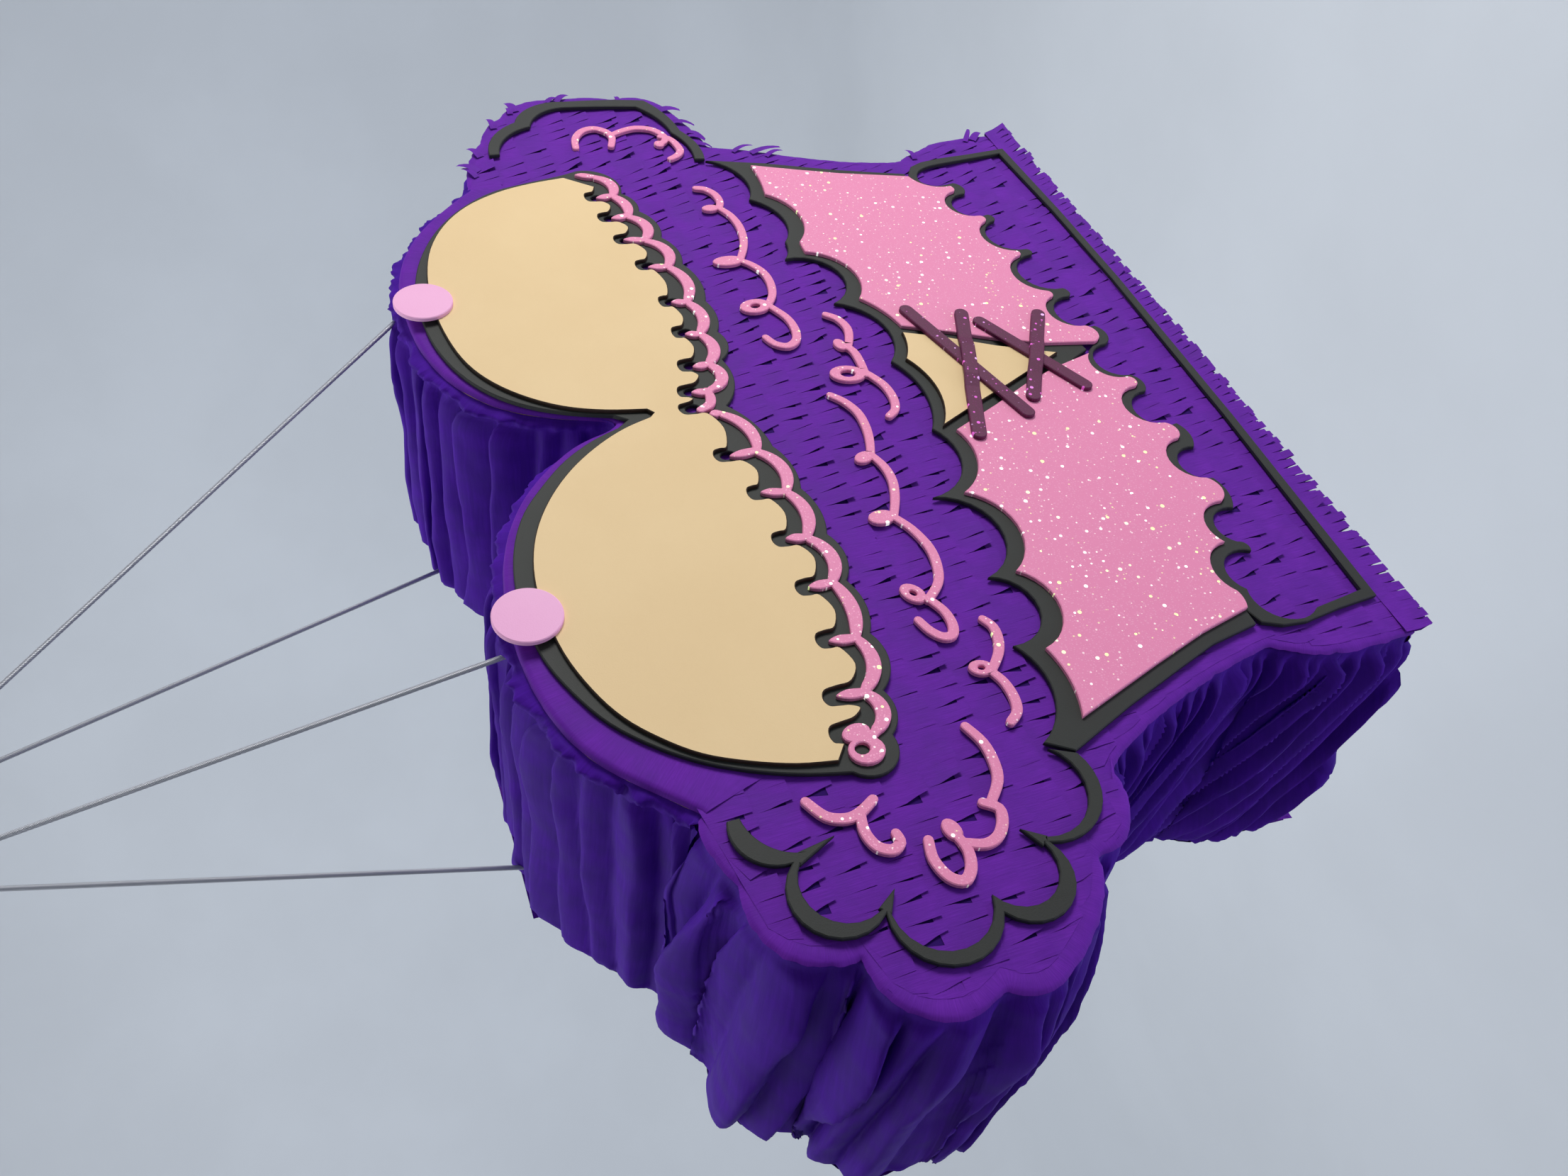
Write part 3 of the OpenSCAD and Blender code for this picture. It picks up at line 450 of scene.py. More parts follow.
@dataclass(frozen=True)
class FoamSheet(Finish):
    """Matt foam sheet with closed pores and faint mottle."""

    pore_depth: float = 0.00006

    def wire(self, bench: NodeBench, shader: bpy.types.Node) -> None:
        """Wires pores and mottle on object coordinates."""
        place = bench.add("TexCoord").outputs["Object"]
        group = bench.add("Group", {"node_tree": Groups.pores()}, Vector=place)
        tone = bench.step(group.outputs["Mottle"], 0.35, 0.7)
        bench.join(shader, "Base_Color", bench.mix(tone, self.colour, self.second))
        rough = bench.maths("MULTIPLY_ADD", group.outputs["Mottle"], 0.12, self.roughness - 0.06)
        bench.join(shader, "Roughness", rough)
        shader.inputs["Specular IOR Level"].default_value = 0.35
        self.bump(bench, shader, group.outputs["Height"], 0.35, self.pore_depth)


@dataclass(frozen=True)
class GlitterFoam(Finish):
    """Foam sheet faced with glitter: fine flecks, with glints and scattered bright sparks that are painted highlights
    and glow.
    """

    # Colours and glow of the glints and sparks: painted highlights.
    spark: tuple[float, float, float, float] = (1.0, 0.98, 0.9, 1.0)
    tinted: tuple[float, float, float, float] = (0.86, 1.0, 0.42, 1.0)
    glint_glow: float = 0.5
    fine_share: float = 0.5
    glint_share: float = 0.3
    spark_share: float = 0.26

    def wire(self, bench: NodeBench, shader: bpy.types.Node) -> None:
        """Wires the flecks to colour, roughness, metallic, emission and bump; glints and sparks are painted highlights
        in the colour and a glow in the emission.
        """
        place = bench.add("TexCoord").outputs["Object"]
        flecks = Groups.flecks()
        sorts = ((850.0, 0.5, 0.32), (310.0, self.glint_share, 0.15), (165.0, self.spark_share, 0.155))
        fine, glint, spark = (bench.add("Group", {"node_tree": flecks}, Vector=place, Scale=scale, Share=share, Reach=reach)
                              for scale, share, reach in sorts)
        small = bench.maths("MULTIPLY", fine.outputs["Spot"], self.fine_share)
        base = bench.mix(small, self.colour, self.second)
        # Painted highlights: glint and spark spots are lightened in the colour and made to glow.
        glint_colour = bench.mix(bench.step(spark.outputs["Random"], 0.6, 0.9), self.spark, self.tinted)
        glint_spots = bench.maths("MAXIMUM", spark.outputs["Spot"], bench.maths("MULTIPLY", glint.outputs["Spot"], 0.45))
        bench.join(shader, "Base_Color", bench.mix(glint_spots, base, glint_colour))
        bench.join(shader, "Roughness", bench.maths("SUBTRACT", self.roughness, bench.maths("MULTIPLY", small, 0.3)))
        bench.join(shader, "Metallic", bench.maths("MULTIPLY", small, 0.25))
        bench.join(shader, "Emission_Color", bench.mix(glint_spots, (0.0, 0.0, 0.0, 1.0), glint_colour))
        shader.inputs["Emission Strength"].default_value = self.glint_glow
        grit = bench.grain(place, 1500.0, 2.0)
        self.bump(bench, shader, bench.maths("ADD", grit, fine.outputs["Spot"]), 0.5, 0.00012)


@dataclass(frozen=True)
class MetallicCord(Finish):
    """Twisted cord wrapped in silver foil thread."""

    def wire(self, bench: NodeBench, shader: bpy.types.Node) -> None:
        """Wires fine slanting thread on the cord's own UV map."""
        place = bench.add("UVMap").outputs[0]
        slant = bench.add("Mapping", {"vector_type": "POINT"}, Vector=place)
        slant.inputs["Rotation"].default_value = (0.0, 0.0, math.radians(38))
        bands = bench.add("TexWave", {"wave_type": "BANDS"}, Vector=slant.outputs[0], Scale=620.0,
                          Distortion=2.0, Detail=2.0)
        thread = bands.outputs[1]
        worn = bench.grain(place, 260.0, 3.0)
        bench.join(shader, "Base_Color", bench.mix(thread, self.second, self.colour))
        bench.join(shader, "Roughness", bench.maths("MULTIPLY_ADD", worn, 0.3, self.roughness - 0.15))
        bench.join(shader, "Metallic", bench.maths("MULTIPLY_ADD", worn, 0.35, 0.35))
        self.bump(bench, shader, thread, 0.6, 0.0002)


@dataclass(frozen=True)
class RingSteel(Finish):
    """Drawn steel wire with fine scratches."""

    def wire(self, bench: NodeBench, shader: bpy.types.Node) -> None:
        """Wires scratches on object coordinates."""
        place = bench.add("TexCoord").outputs["Object"]
        scratch = bench.grain(place, 900.0, 5.0, 0.7)
        dull = bench.grain(place, 60.0, 2.0)
        bench.join(shader, "Base_Color", bench.mix(dull, self.colour, self.second))
        bench.join(shader, "Roughness", bench.maths("MULTIPLY_ADD", scratch, 0.3, self.roughness - 0.1))
        shader.inputs["Metallic"].default_value = 1.0
        self.bump(bench, shader, scratch, 0.25, 0.00004)


@dataclass(frozen=True)
class FibreSheet(Finish):
    """Brown card or masking tape: drawn fibres and blotches."""

    fibre_depth: float = 0.0001

    def wire(self, bench: NodeBench, shader: bpy.types.Node) -> None:
        """Wires fibres on object coordinates."""
        place = bench.add("TexCoord").outputs["Object"]
        group = bench.add("Group", {"node_tree": Groups.fibres()}, Vector=place)
        blotch = bench.maths("MULTIPLY", group.outputs["Blotch"], 0.4)
        tone = bench.step(bench.maths("MULTIPLY_ADD", group.outputs["Fibre"], 0.6, blotch), 0.35, 0.68)
        bench.join(shader, "Base_Color", bench.mix(tone, self.colour, self.second))
        self.bump(bench, shader, group.outputs["Fibre"], 0.5, self.fibre_depth)


@dataclass(frozen=True)
class Backdrop(Finish):
    """A matt pale studio surface that gives off a little light of its own."""

    glow: float = 0.13

    def wire(self, bench: NodeBench, shader: bpy.types.Node) -> None:
        """Wires a faint mottle and sets the glow."""
        place = bench.add("TexCoord").outputs["Object"]
        tone = bench.step(bench.grain(place, 2.0, 4.0), 0.3, 0.7)
        darker = tuple(v * 0.94 for v in self.second[:3]) + (1.0,)
        bench.join(shader, "Base_Color", bench.mix(tone, self.colour, darker))
        bench.join(shader, "Emission_Color", self.colour)
        shader.inputs["Emission Strength"].default_value = self.glow
        shader.inputs["Specular IOR Level"].default_value = 0.1


class Palette:
    """The pinata's finishes."""

    crepe_front = CrepePaper("crepe_front_paper", srgb(104, 36, 166), srgb(118, 44, 180), 0.66, sheen=0.04)
    # Dark purple under the fringe rows: painted shade, the shade seen through the slits between the tabs.
    crepe_shade_backing = CrepePaper("crepe_backing_painted_shade", srgb(50, 16, 104), srgb(56, 20, 114), 0.85, sheen=0.0)
    # The same purple crepe as the front, given a darker base: painted shade on the side walls.
    crepe_side_shaded = CrepePaper("crepe_side_painted_shade", srgb(70, 16, 150), srgb(84, 24, 170), 0.7, sheen=0.0,
                            across=900.0, along=40.0)
    foam_black = FoamSheet("foam_black_sheet", srgb(38, 40, 37), srgb(42, 45, 41), 0.62)
    # Dark brown for the skin foam's cut edges: painted shade along the edge.
    skin_edge_shade = FoamSheet("foam_skin_edge_painted_shade", srgb(46, 32, 22), srgb(58, 42, 28), 0.7)
    foam_skin = FoamSheet("foam_skin_sheet", srgb(226, 196, 146), srgb(230, 201, 152), 0.6)
    foam_dot = FoamSheet("foam_pale_pink_sheet", srgb(238, 172, 212), srgb(242, 180, 217), 0.6)
    glitter_pink = GlitterFoam("glitter_pink_sheet", srgb(232, 136, 176), srgb(242, 170, 200), 0.6)
    # The plum glitter's spark colours and glow are painted highlights.
    glitter_plum = GlitterFoam("glitter_plum_sheet", srgb(88, 0, 60), srgb(116, 6, 86), 0.6,
                               spark=(0.8, 0.12, 0.65, 1.0), tinted=(0.9, 0.5, 1.0, 1.0),
                               glint_glow=0.15, glint_share=0.25, spark_share=0.4)
    cord = MetallicCord("silver_cord", srgb(214, 216, 222), srgb(128, 130, 138), 0.42)
    ring = RingSteel("ring_wire", srgb(196, 198, 202), srgb(150, 152, 158), 0.32)
    card = FibreSheet("brown_card", srgb(186, 146, 100), srgb(158, 118, 76), 0.85)
    tape = FibreSheet("masking_tape", srgb(226, 206, 158), srgb(206, 182, 128), 0.6, fibre_depth=0.00015)
    ribbon = FibreSheet("tab_ribbon", srgb(120, 60, 190), srgb(90, 36, 160), 0.5)
    floor = Backdrop("studio_floor", srgb(206, 211, 217), srgb(206, 211, 217), 0.9)


# --- The body's outline -----------------------------------------------------------------------


@dataclass(frozen=True)
class Outline:
    """A closed outline seen from the front as (x, z), clockwise, with the length run at each point."""

    points: tuple[Vector, ...]
    runs: tuple[float, ...]

    @classmethod
    def of(cls, node: bpy.types.Object, start: Vector) -> "Outline":
        """Traces the front rim of a flat panel.

        Args:
            node: The panel.
            start: The point, as (x, z), nearest to which the outline starts.

        Returns:
            The outline.
        """
        bm = bmesh.new()
        bm.from_mesh(node.data)
        bmesh.ops.remove_doubles(bm, verts=bm.verts, dist=WELD)
        bm.normal_update()
        cap = {f for f in bm.faces if f.normal.y < -0.99}
        rim = {e for e in bm.edges if sum(f in cap for f in e.link_faces) == 1}
        edge = next(iter(rim))
        verts = [edge.verts[0], edge.verts[1]]
        rim.discard(edge)
        while verts[-1] is not verts[0]:
            edge = next(e for e in verts[-1].link_edges if e in rim)
            rim.discard(edge)
            verts.append(edge.other_vert(verts[-1]))
        loop = [Vector((v.co.x, v.co.z)) for v in verts[:-1]]
        bm.free()
        area = sum(a.x * b.y - b.x * a.y for a, b in zip(loop, loop[1:] + loop[:1]))
        if area > 0:
            loop.reverse()
        first = min(range(len(loop)), key=lambda i: (loop[i] - start).length)
        return cls.through(loop[first:] + loop[:first])

    @classmethod
    def through(cls, points: Sequence[Vector]) -> "Outline":
        """Measures the closed outline through points given in order."""
        runs = [0.0]
        for a, b in zip(points, [*points[1:], points[0]]):
            runs.append(runs[-1] + (b - a).length)
        return cls(tuple(points), tuple(runs))

    @property
    def length(self) -> float:
        """The outline's whole length."""
        return self.runs[-1]

    def at(self, run: float) -> tuple[Vector, Vector]:
        """Returns the point and the outward direction at a length along the outline."""
        run %= self.length
        i = min(bisect.bisect_right(self.runs, run) - 1, len(self.points) - 1)
        a, b = self.points[i], self.points[(i + 1) % len(self.points)]
        t = (run - self.runs[i]) / max(self.runs[i + 1] - self.runs[i], 1e-9)
        way = (b - a).normalized()
        return a.lerp(b, t), Vector((-way.y, way.x))

    def eased(self, run: float, window: float) -> tuple[Vector, Vector]:
        """Returns the point and outward direction averaged over a window, which rounds the corners."""
        steps = [self.at(run + window * k / 4) for k in (-2, -1, 0, 1, 2)]
        point = sum((p for p, _ in steps), Vector((0.0, 0.0))) / 5
        out = sum((n for _, n in steps), Vector((0.0, 0.0)))
        return point, out.normalized()

    def spans(self, z: float) -> list[tuple[float, float]]:
        """Returns the stretches of x that lie inside the outline at a height."""
        hits = []
        for a, b in zip(self.points, self.points[1:] + self.points[:1]):
            if (a.y > z) != (b.y > z):
                hits.append(a.x + (b.x - a.x) * (z - a.y) / (b.y - a.y))
        hits.sort()
        return list(zip(hits[::2], hits[1::2]))

    def stretch(self, node: bpy.types.Object) -> tuple[float, float]:
        """Returns the lengths along the outline between which a wall runs."""
        near = 1e-5
        ordered = [i for i, p in enumerate(self.points)
                   if any(abs(v.co.x - p.x) < near and abs(v.co.z - p.y) < near for v in node.data.vertices)]
        if ordered[0] == 0 and len(ordered) == 2 and ordered[1] > 1:
            return self.runs[ordered[1]], self.length
        return self.runs[ordered[0]], self.runs[ordered[-1]]


# --- Gathered crepe on the walls --------------------------------------------------------------


@dataclass(frozen=True)
class PleatStyle:
    """How the crepe is gathered on one stretch of wall."""

    pitch: float
    depth: float
    skew: float = 0.0
    lean: float = 0.9
    flare: float = 1.0
    bead: float = 0.0
    round_off: float = 1.7
    open_out: float = 0.02
    gather_back: float = 0.0
    ease: float = 0.006
    step: float = 0.0014

    def mirrored(self) -> "PleatStyle":
        """Returns the style for the same stretch on the body's other side."""
        return replace(self, skew=-self.skew)


WAIST_PLEATS = PleatStyle(0.0066, 0.0085, skew=-0.35, gather_back=0.5, step=0.0010)
RUFFLE_PLEATS = PleatStyle(0.0150, 0.0118, skew=-0.12, lean=0.75, flare=1.08, round_off=1.4, open_out=0.05,
                           gather_back=0.25, ease=0.012, step=0.0012)
DOME_PLEATS = PleatStyle(0.0125, 0.0078, skew=0.03, bead=1.3, step=0.0013)
HEM_PLEATS = PleatStyle(0.0100, 0.0052, skew=0.05, lean=0.8, bead=0.4, gather_back=0.3, step=0.0015)
PLEATS = {
    "waist_left": WAIST_PLEATS,
    "ruffle_left": RUFFLE_PLEATS,
    "dome_left": DOME_PLEATS,
    "dome_right": DOME_PLEATS.mirrored(),
    "ruffle_right": RUFFLE_PLEATS.mirrored(),
    "waist_right": WAIST_PLEATS.mirrored(),
    "hem": HEM_PLEATS,
}


@dataclass(frozen=True)
class Pleat:
    """One pleat: its start, its peak, its size and its lean at five stations from front to back."""

    start: float
    shifts: tuple[float, ...]
    peaks: tuple[float, ...]
    sizes: tuple[float, ...]
    leans: tuple[float, ...]


@dataclass
class GatheredWall:
    """Crepe gathered over one stretch of wall, with a rolled edge along the front and back panels."""

    name: str
    outline: Outline
    start: float
    end: float
    style: PleatStyle
    front: float
    back: float
    seed: int
    cleft: float = -1.0
    pleats: list[Pleat] = field(default_factory=list)

    def lay_pleats(self) -> None:
        """Chooses each pleat's place, peak, size and lean."""
        rng = random.Random(self.seed)
        margin = abs(self.style.skew) * 0.17 + 0.03
        at = self.start - margin
        while at < self.end + margin:
            width = self.style.pitch * rng.uniform(0.55, 1.6)
            size = min(1.25, 0.35 + 0.6 * width / self.style.pitch) * rng.uniform(0.6, 1.15)
            lean = rng.uniform(-1.0, 1.0)
            self.pleats.append(Pleat(
                at,
                tuple(rng.uniform(-0.16, 0.16) * self.style.pitch for _ in range(5)),
                tuple(min(0.8, max(0.2, 0.5 + 0.3 * lean + rng.uniform(-0.12, 0.12))) for _ in range(5)),
                tuple(size * rng.uniform(0.65, 1.15) for _ in range(5)),
                tuple(lean + rng.uniform(-0.25, 0.25) for _ in range(5))))
            at += width

    @staticmethod
    def along(values: Sequence[float], share: float) -> float:
        """Returns the value between stations at a share of the way from front to back."""
        spot = min(max(share, 0.0), 0.9999) * (len(values) - 1)
        k = int(spot)
        return values[k] + (values[k + 1] - values[k]) * (spot - k)

    def fold(self, run: float, depth: float) -> tuple[float, float]:
        """Returns how far the crepe stands off the card and how far it leans there.

        Args:
            run: Length along the outline.
            depth: Distance behind the front panel.

        Returns:
            The height over the card and the sideways shift.
        """
        style = self.style
        whole = self.back - self.front
        share = depth / whole
        spot = run + style.skew * (depth - whole / 2) + 0.08 * style.pitch * wave(run * 30, depth * 40, self.seed)
        k = bisect.bisect_right(self.pleats, spot, key=lambda p: p.start + self.along(p.shifts, share)) - 1
        k = min(max(k, 0), len(self.pleats) - 2)
        one, two = self.pleats[k], self.pleats[k + 1]
        low = one.start + self.along(one.shifts, share)
        high = two.start + self.along(two.shifts, share)
        t = min(1.0, max(0.0, (spot - low) / (high - low)))
        peak = self.along(one.peaks, share)
        crest = 1 - (1 - min(t / peak, (1 - t) / (1 - peak))) ** style.round_off
        opened = 0.35 + 0.65 * smooth(0.0, style.open_out, depth)
        pinch = opened - style.gather_back * smooth(whole - 0.03, whole, depth)
        flare = 1 + (style.flare - 1) * share
        height = style.depth * self.along(one.sizes, share) * crest * pinch * flare * self.calm(run)
        fine = abs(wave(run * 130, depth * 30, self.seed + 3.1)) * 0.0007
        creases = fine + abs(wave(run * 60, depth * 70, 9.4)) * 0.0006
        return height + creases * self.calm(run), style.lean * self.along(one.leans, share) * height

    def calm(self, run: float) -> float:
        """Returns how much of the gathering is left near the cleft, where the two cups' covers meet."""
        return 1.0 if self.cleft < 0 else 0.06 + 0.94 * smooth(0.002, 0.06, abs(run - self.cleft))

    def profile(self) -> list[tuple[float, float, float]]:
        """Returns the sheet's lines from front to back.

        Returns:
            For each line, its distance behind the front, the roll's height and its share of the folds.
        """
        depth = self.back - self.front
        roll = 0.0034 * self.style.bead
        body = 46
        lines = [(0.0, -0.0016, 0.0), (0.0016, -0.0014, 0.0), (0.0026, -0.0004 + 0.5 * roll, 0.06),
                 (0.0034, 0.95 * roll, 0.1), (0.0046, 1.15 * roll, 0.12), (0.0062, roll, 0.2),
                 (0.0076, 0.45 * roll, 0.35), (0.009, 0.1 * roll, 0.65)]
        lines += [(0.011 + (depth - 0.0185) * i / body, 0.0, 1.0) for i in range(body + 1)]
        lines += [(depth - 0.0056, 0.0007, 0.8), (depth - 0.0038, 0.0014, 0.65), (depth - 0.002, 0.0014, 0.4),
                  (depth - 0.0006, 0.0, 0.2), (depth, -0.001, 0.0)]
        return lines

    def build(self) -> bpy.types.Object:
        """Builds the gathered sheet."""
        self.lay_pleats()
        columns = max(8, round((self.end - self.start) / self.style.step))
        lines = self.profile()
        bm = bmesh.new()
        corners = grid(bm, columns, len(lines) - 1)
        places = {}
        for (column, row), vert in corners.items():
            run = self.start + (self.end - self.start) * column / columns
            depth, roll, share = lines[row]
            height, lean = self.fold(run, depth)
            crumple = 0.8 + 0.8 * wave(run * 95, depth * 120, self.seed) + 0.6 * wave(run * 260, depth * 380, self.seed)
            height = height * share + roll * (crumple if roll > 0 else 1.0) * self.calm(run)
            shift = lean * share + (0.0011 * wave(run * 210, depth * 500, 5.0) if 0.0 < share < 0.6 else 0.0)
            back = 0.0012 * wave(run * 90, 3.3, self.seed) if 0.05 < share < 0.6 and depth < 0.02 else 0.0
            point, out = self.outline.eased(run + shift, self.style.ease)
            place = point + out * (height + 0.0006)
            vert.co = (place.x, self.front + depth + back * self.calm(run), place.y)
            places[vert] = (run, depth)
        mark_uv(bm, places)
        _, out = self.outline.eased(self.start + (self.end - self.start) * 0.5, self.style.ease)
        face_towards(bm, corners[(columns // 2, len(lines) // 2)], Vector((out.x, 0.0, out.y)))
        # The side crepe's darker purple is painted shade.
        return finished(self.name, bm, Palette.crepe_side_shaded.material())


@dataclass
class RimBand:
    """A smooth crepe band along an edge of a flat cover, from its lip over the edge inwards."""

    name: str
    outline: Outline
    start: float
    end: float
    face: float
    facing: Facing
    lines: Sequence[tuple[float, float]]
    ease: float = 0.004
    step: float = 0.0022

    def build(self) -> bpy.types.Object:
        """Builds the band from lines given as (distance inwards from the edge, lift off the card)."""
        columns = round((self.end - self.start) / self.step)
        bm = bmesh.new()
        corners = grid(bm, columns, len(self.lines) - 1)
        places = {}
        out_y = self.facing.value
        for (column, row), vert in corners.items():
            run = self.start + (self.end - self.start) * column / columns
            point, out = self.outline.eased(run, self.ease)
            inward, lift = self.lines[row]
            if inward < 0:
                inward *= 0.8 + 0.5 * wave(run * 70, 1.0, 8.0) + 0.3 * wave(run * 260, 4.0, 2.0)
            place = point - out * inward
            ripple = 0.00016 * wave(run * 110, inward * 150, 4.0) + 0.0001 * wave(run * 380, inward * 90, 9.0)
            vert.co = (place.x, self.face + out_y * (lift + ripple), place.y)
            places[vert] = (run, inward)
        mark_uv(bm, places)
        face_out(bm, self.facing)
        return finished(self.name, bm, Palette.crepe_front.material())


# Bands as (distance inwards from the edge, lift off the card)
LIP = ((-0.0026, -0.0010), (-0.0014, -0.0001), (0.0, 0.0004), (0.003, 0.00055), (0.0065, 0.0005), (0.0105, 0.00032))
CUP_BAND = ((-0.0006, -0.0012), (-0.0002, 0.0002), (0.0006, 0.0012), (0.0022, 0.0016), (0.006, 0.0017),
            (0.012, 0.00172), (0.02, 0.00168), (0.027, 0.0012))


# --- Fringed crepe rows -----------------------------------------------------------------------


@dataclass(frozen=True)
class TabStyle:
    """How the tabs of a fringed strip are cut and how they lie."""

    width: float = 0.0085
    slit: float = 0.68
    open_share: float = 0.3
    open_gap: float = 0.0034
    lift: float = 0.00035
    curl: float = 0.0016
    ragged: float = 0.0006
    lean_left: float = 0.03
    lean_right: float = 0.36


@dataclass(frozen=True)
class Tab:
    """One tab's own shape: how far each side is cut back, its lift, its turn and its extra length."""

    gap_left: float
    gap_right: float
    lift: float
    turn: float
    drop: float

    @classmethod
    def cut(cls, style: TabStyle, rng: random.Random, is_free: bool) -> "Tab":
        """Cuts a tab.

        Args:
            style: How tabs are cut.
            rng: The strip's random numbers.
            is_free: Whether nothing lies over the tab, so that it can curl.

        Returns:
            The tab.
        """
        gaps = [style.open_gap * rng.uniform(0.3, 1.0) if rng.random() < style.open_share
                else rng.uniform(0.00003, 0.00018) for _ in range(2)]
        lift = style.lift * rng.random()
        if is_free and rng.random() < 0.3:
            lift += style.curl * rng.uniform(0.2, 1.0)
        return cls(gaps[0], gaps[1], lift, rng.uniform(-0.0004, 0.0004), style.ragged * rng.uniform(-1.0, 1.0))


@dataclass
class FringeStrips:
    """Strips of crepe with cut tabs along their lower edge, laid in one mesh."""

    facing: Facing
    style: TabStyle
    rng: random.Random
    is_free: Callable[[float, float], bool] = lambda x, z: True
    bm: bmesh.types.BMesh = field(default_factory=bmesh.new)
    places: dict = field(default_factory=dict)

    def strip(self, left: float, right: float, top: float, bottom: float, y_top: float, y_low: float,
              edge: Callable[[float, float, tuple[float, float]], tuple[float, float]] | None = None) -> None:
        """Adds one strip.

        Args:
            left: Its lowest x.
            right: Its highest x.
            top: Its upper edge's height.
            bottom: The mean height of its tabs' tips.
            y_top: Its place in depth at its upper edge.
            y_low: Its place in depth at its tips, before each tab's own lift.
            edge: Limits x at a height where the panel's edge is curved, and sinks the strip there.
        """
        count = max(1, round((right - left) / self.style.width))
        corners = grid(self.bm, count * 2, 4)
        column_of = {vert: key for key, vert in corners.items()}
        edges = {e for v in corners.values() for e in v.link_edges}
        slits = [e for e in edges if self.is_slit(column_of[e.verts[0]], column_of[e.verts[1]], count)]
        made = bmesh.ops.split_edges(self.bm, edges=slits)
        fresh = {v for v in {w for e in made["edges"] for w in e.verts} | set(corners.values()) if v.link_faces}
        middles = [left + (right - left) * (i + 0.5) / count for i in range(count)]
        tabs = [Tab.cut(self.style, self.rng, self.is_free(x, bottom)) for x in middles]
        spots = {}
        for vert in fresh:
            centre = sum(f.calc_center_median().x for f in vert.link_faces) / len(vert.link_faces)
            spots[vert] = (round((vert.co.x + 0.5) * count * 2), round((vert.co.y + 0.5) * 4), centre)
        for vert, (column, row, centre) in spots.items():
            index = min(count - 1, max(0, int((centre + 0.5) * count)))
            tab = tabs[index]
            down = 1 - row / 4
            tail = smooth(1 - self.style.slit, 1.0, down)
            x = left + (right - left) * column / (count * 2)
            if column % 2 == 0 and row < 4:
                x += (tab.gap_left if x < middles[index] else -tab.gap_right) * tail
            lean = self.style.lean_left + (self.style.lean_right - self.style.lean_left) * smooth(-0.25, 0.35, x - 0.09)
            x += lean * (top - bottom) * down + tab.turn * tail
            z = top - (top - bottom) * down - tab.drop * tail
            stand = 1.0
            if edge is not None:
                x, stand = edge(x, z, (left, right))
            lift = tab.lift * tail ** 1.5 + 0.00016 * wave(x * 170, z * 170, 2.2)
            y = y_top + (y_low - y_top) * down * stand + self.facing.value * lift * stand
            self.places[vert] = (x, z)
            vert.co = (x, y, z)

    @staticmethod
    def is_slit(one: tuple[int, int], two: tuple[int, int], count: int) -> bool:
        """Returns whether the edge between two grid corners is cut between tabs."""
        return one[0] == two[0] and one[0] % 2 == 0 and 0 < one[0] < count * 2 and max(one[1], two[1]) < 4

    def done(self, name: str, material: bpy.types.Material) -> bpy.types.Object:
        """Closes the mesh and returns the piece."""
        slim = [f for f in self.bm.faces if f.calc_area() < 4e-8]
        bmesh.ops.delete(self.bm, geom=slim, context="FACES")
        mark_uv(self.bm, {v: p for v, p in self.places.items() if v.is_valid})
        face_out(self.bm, self.facing)
        return finished(name, self.bm, material)


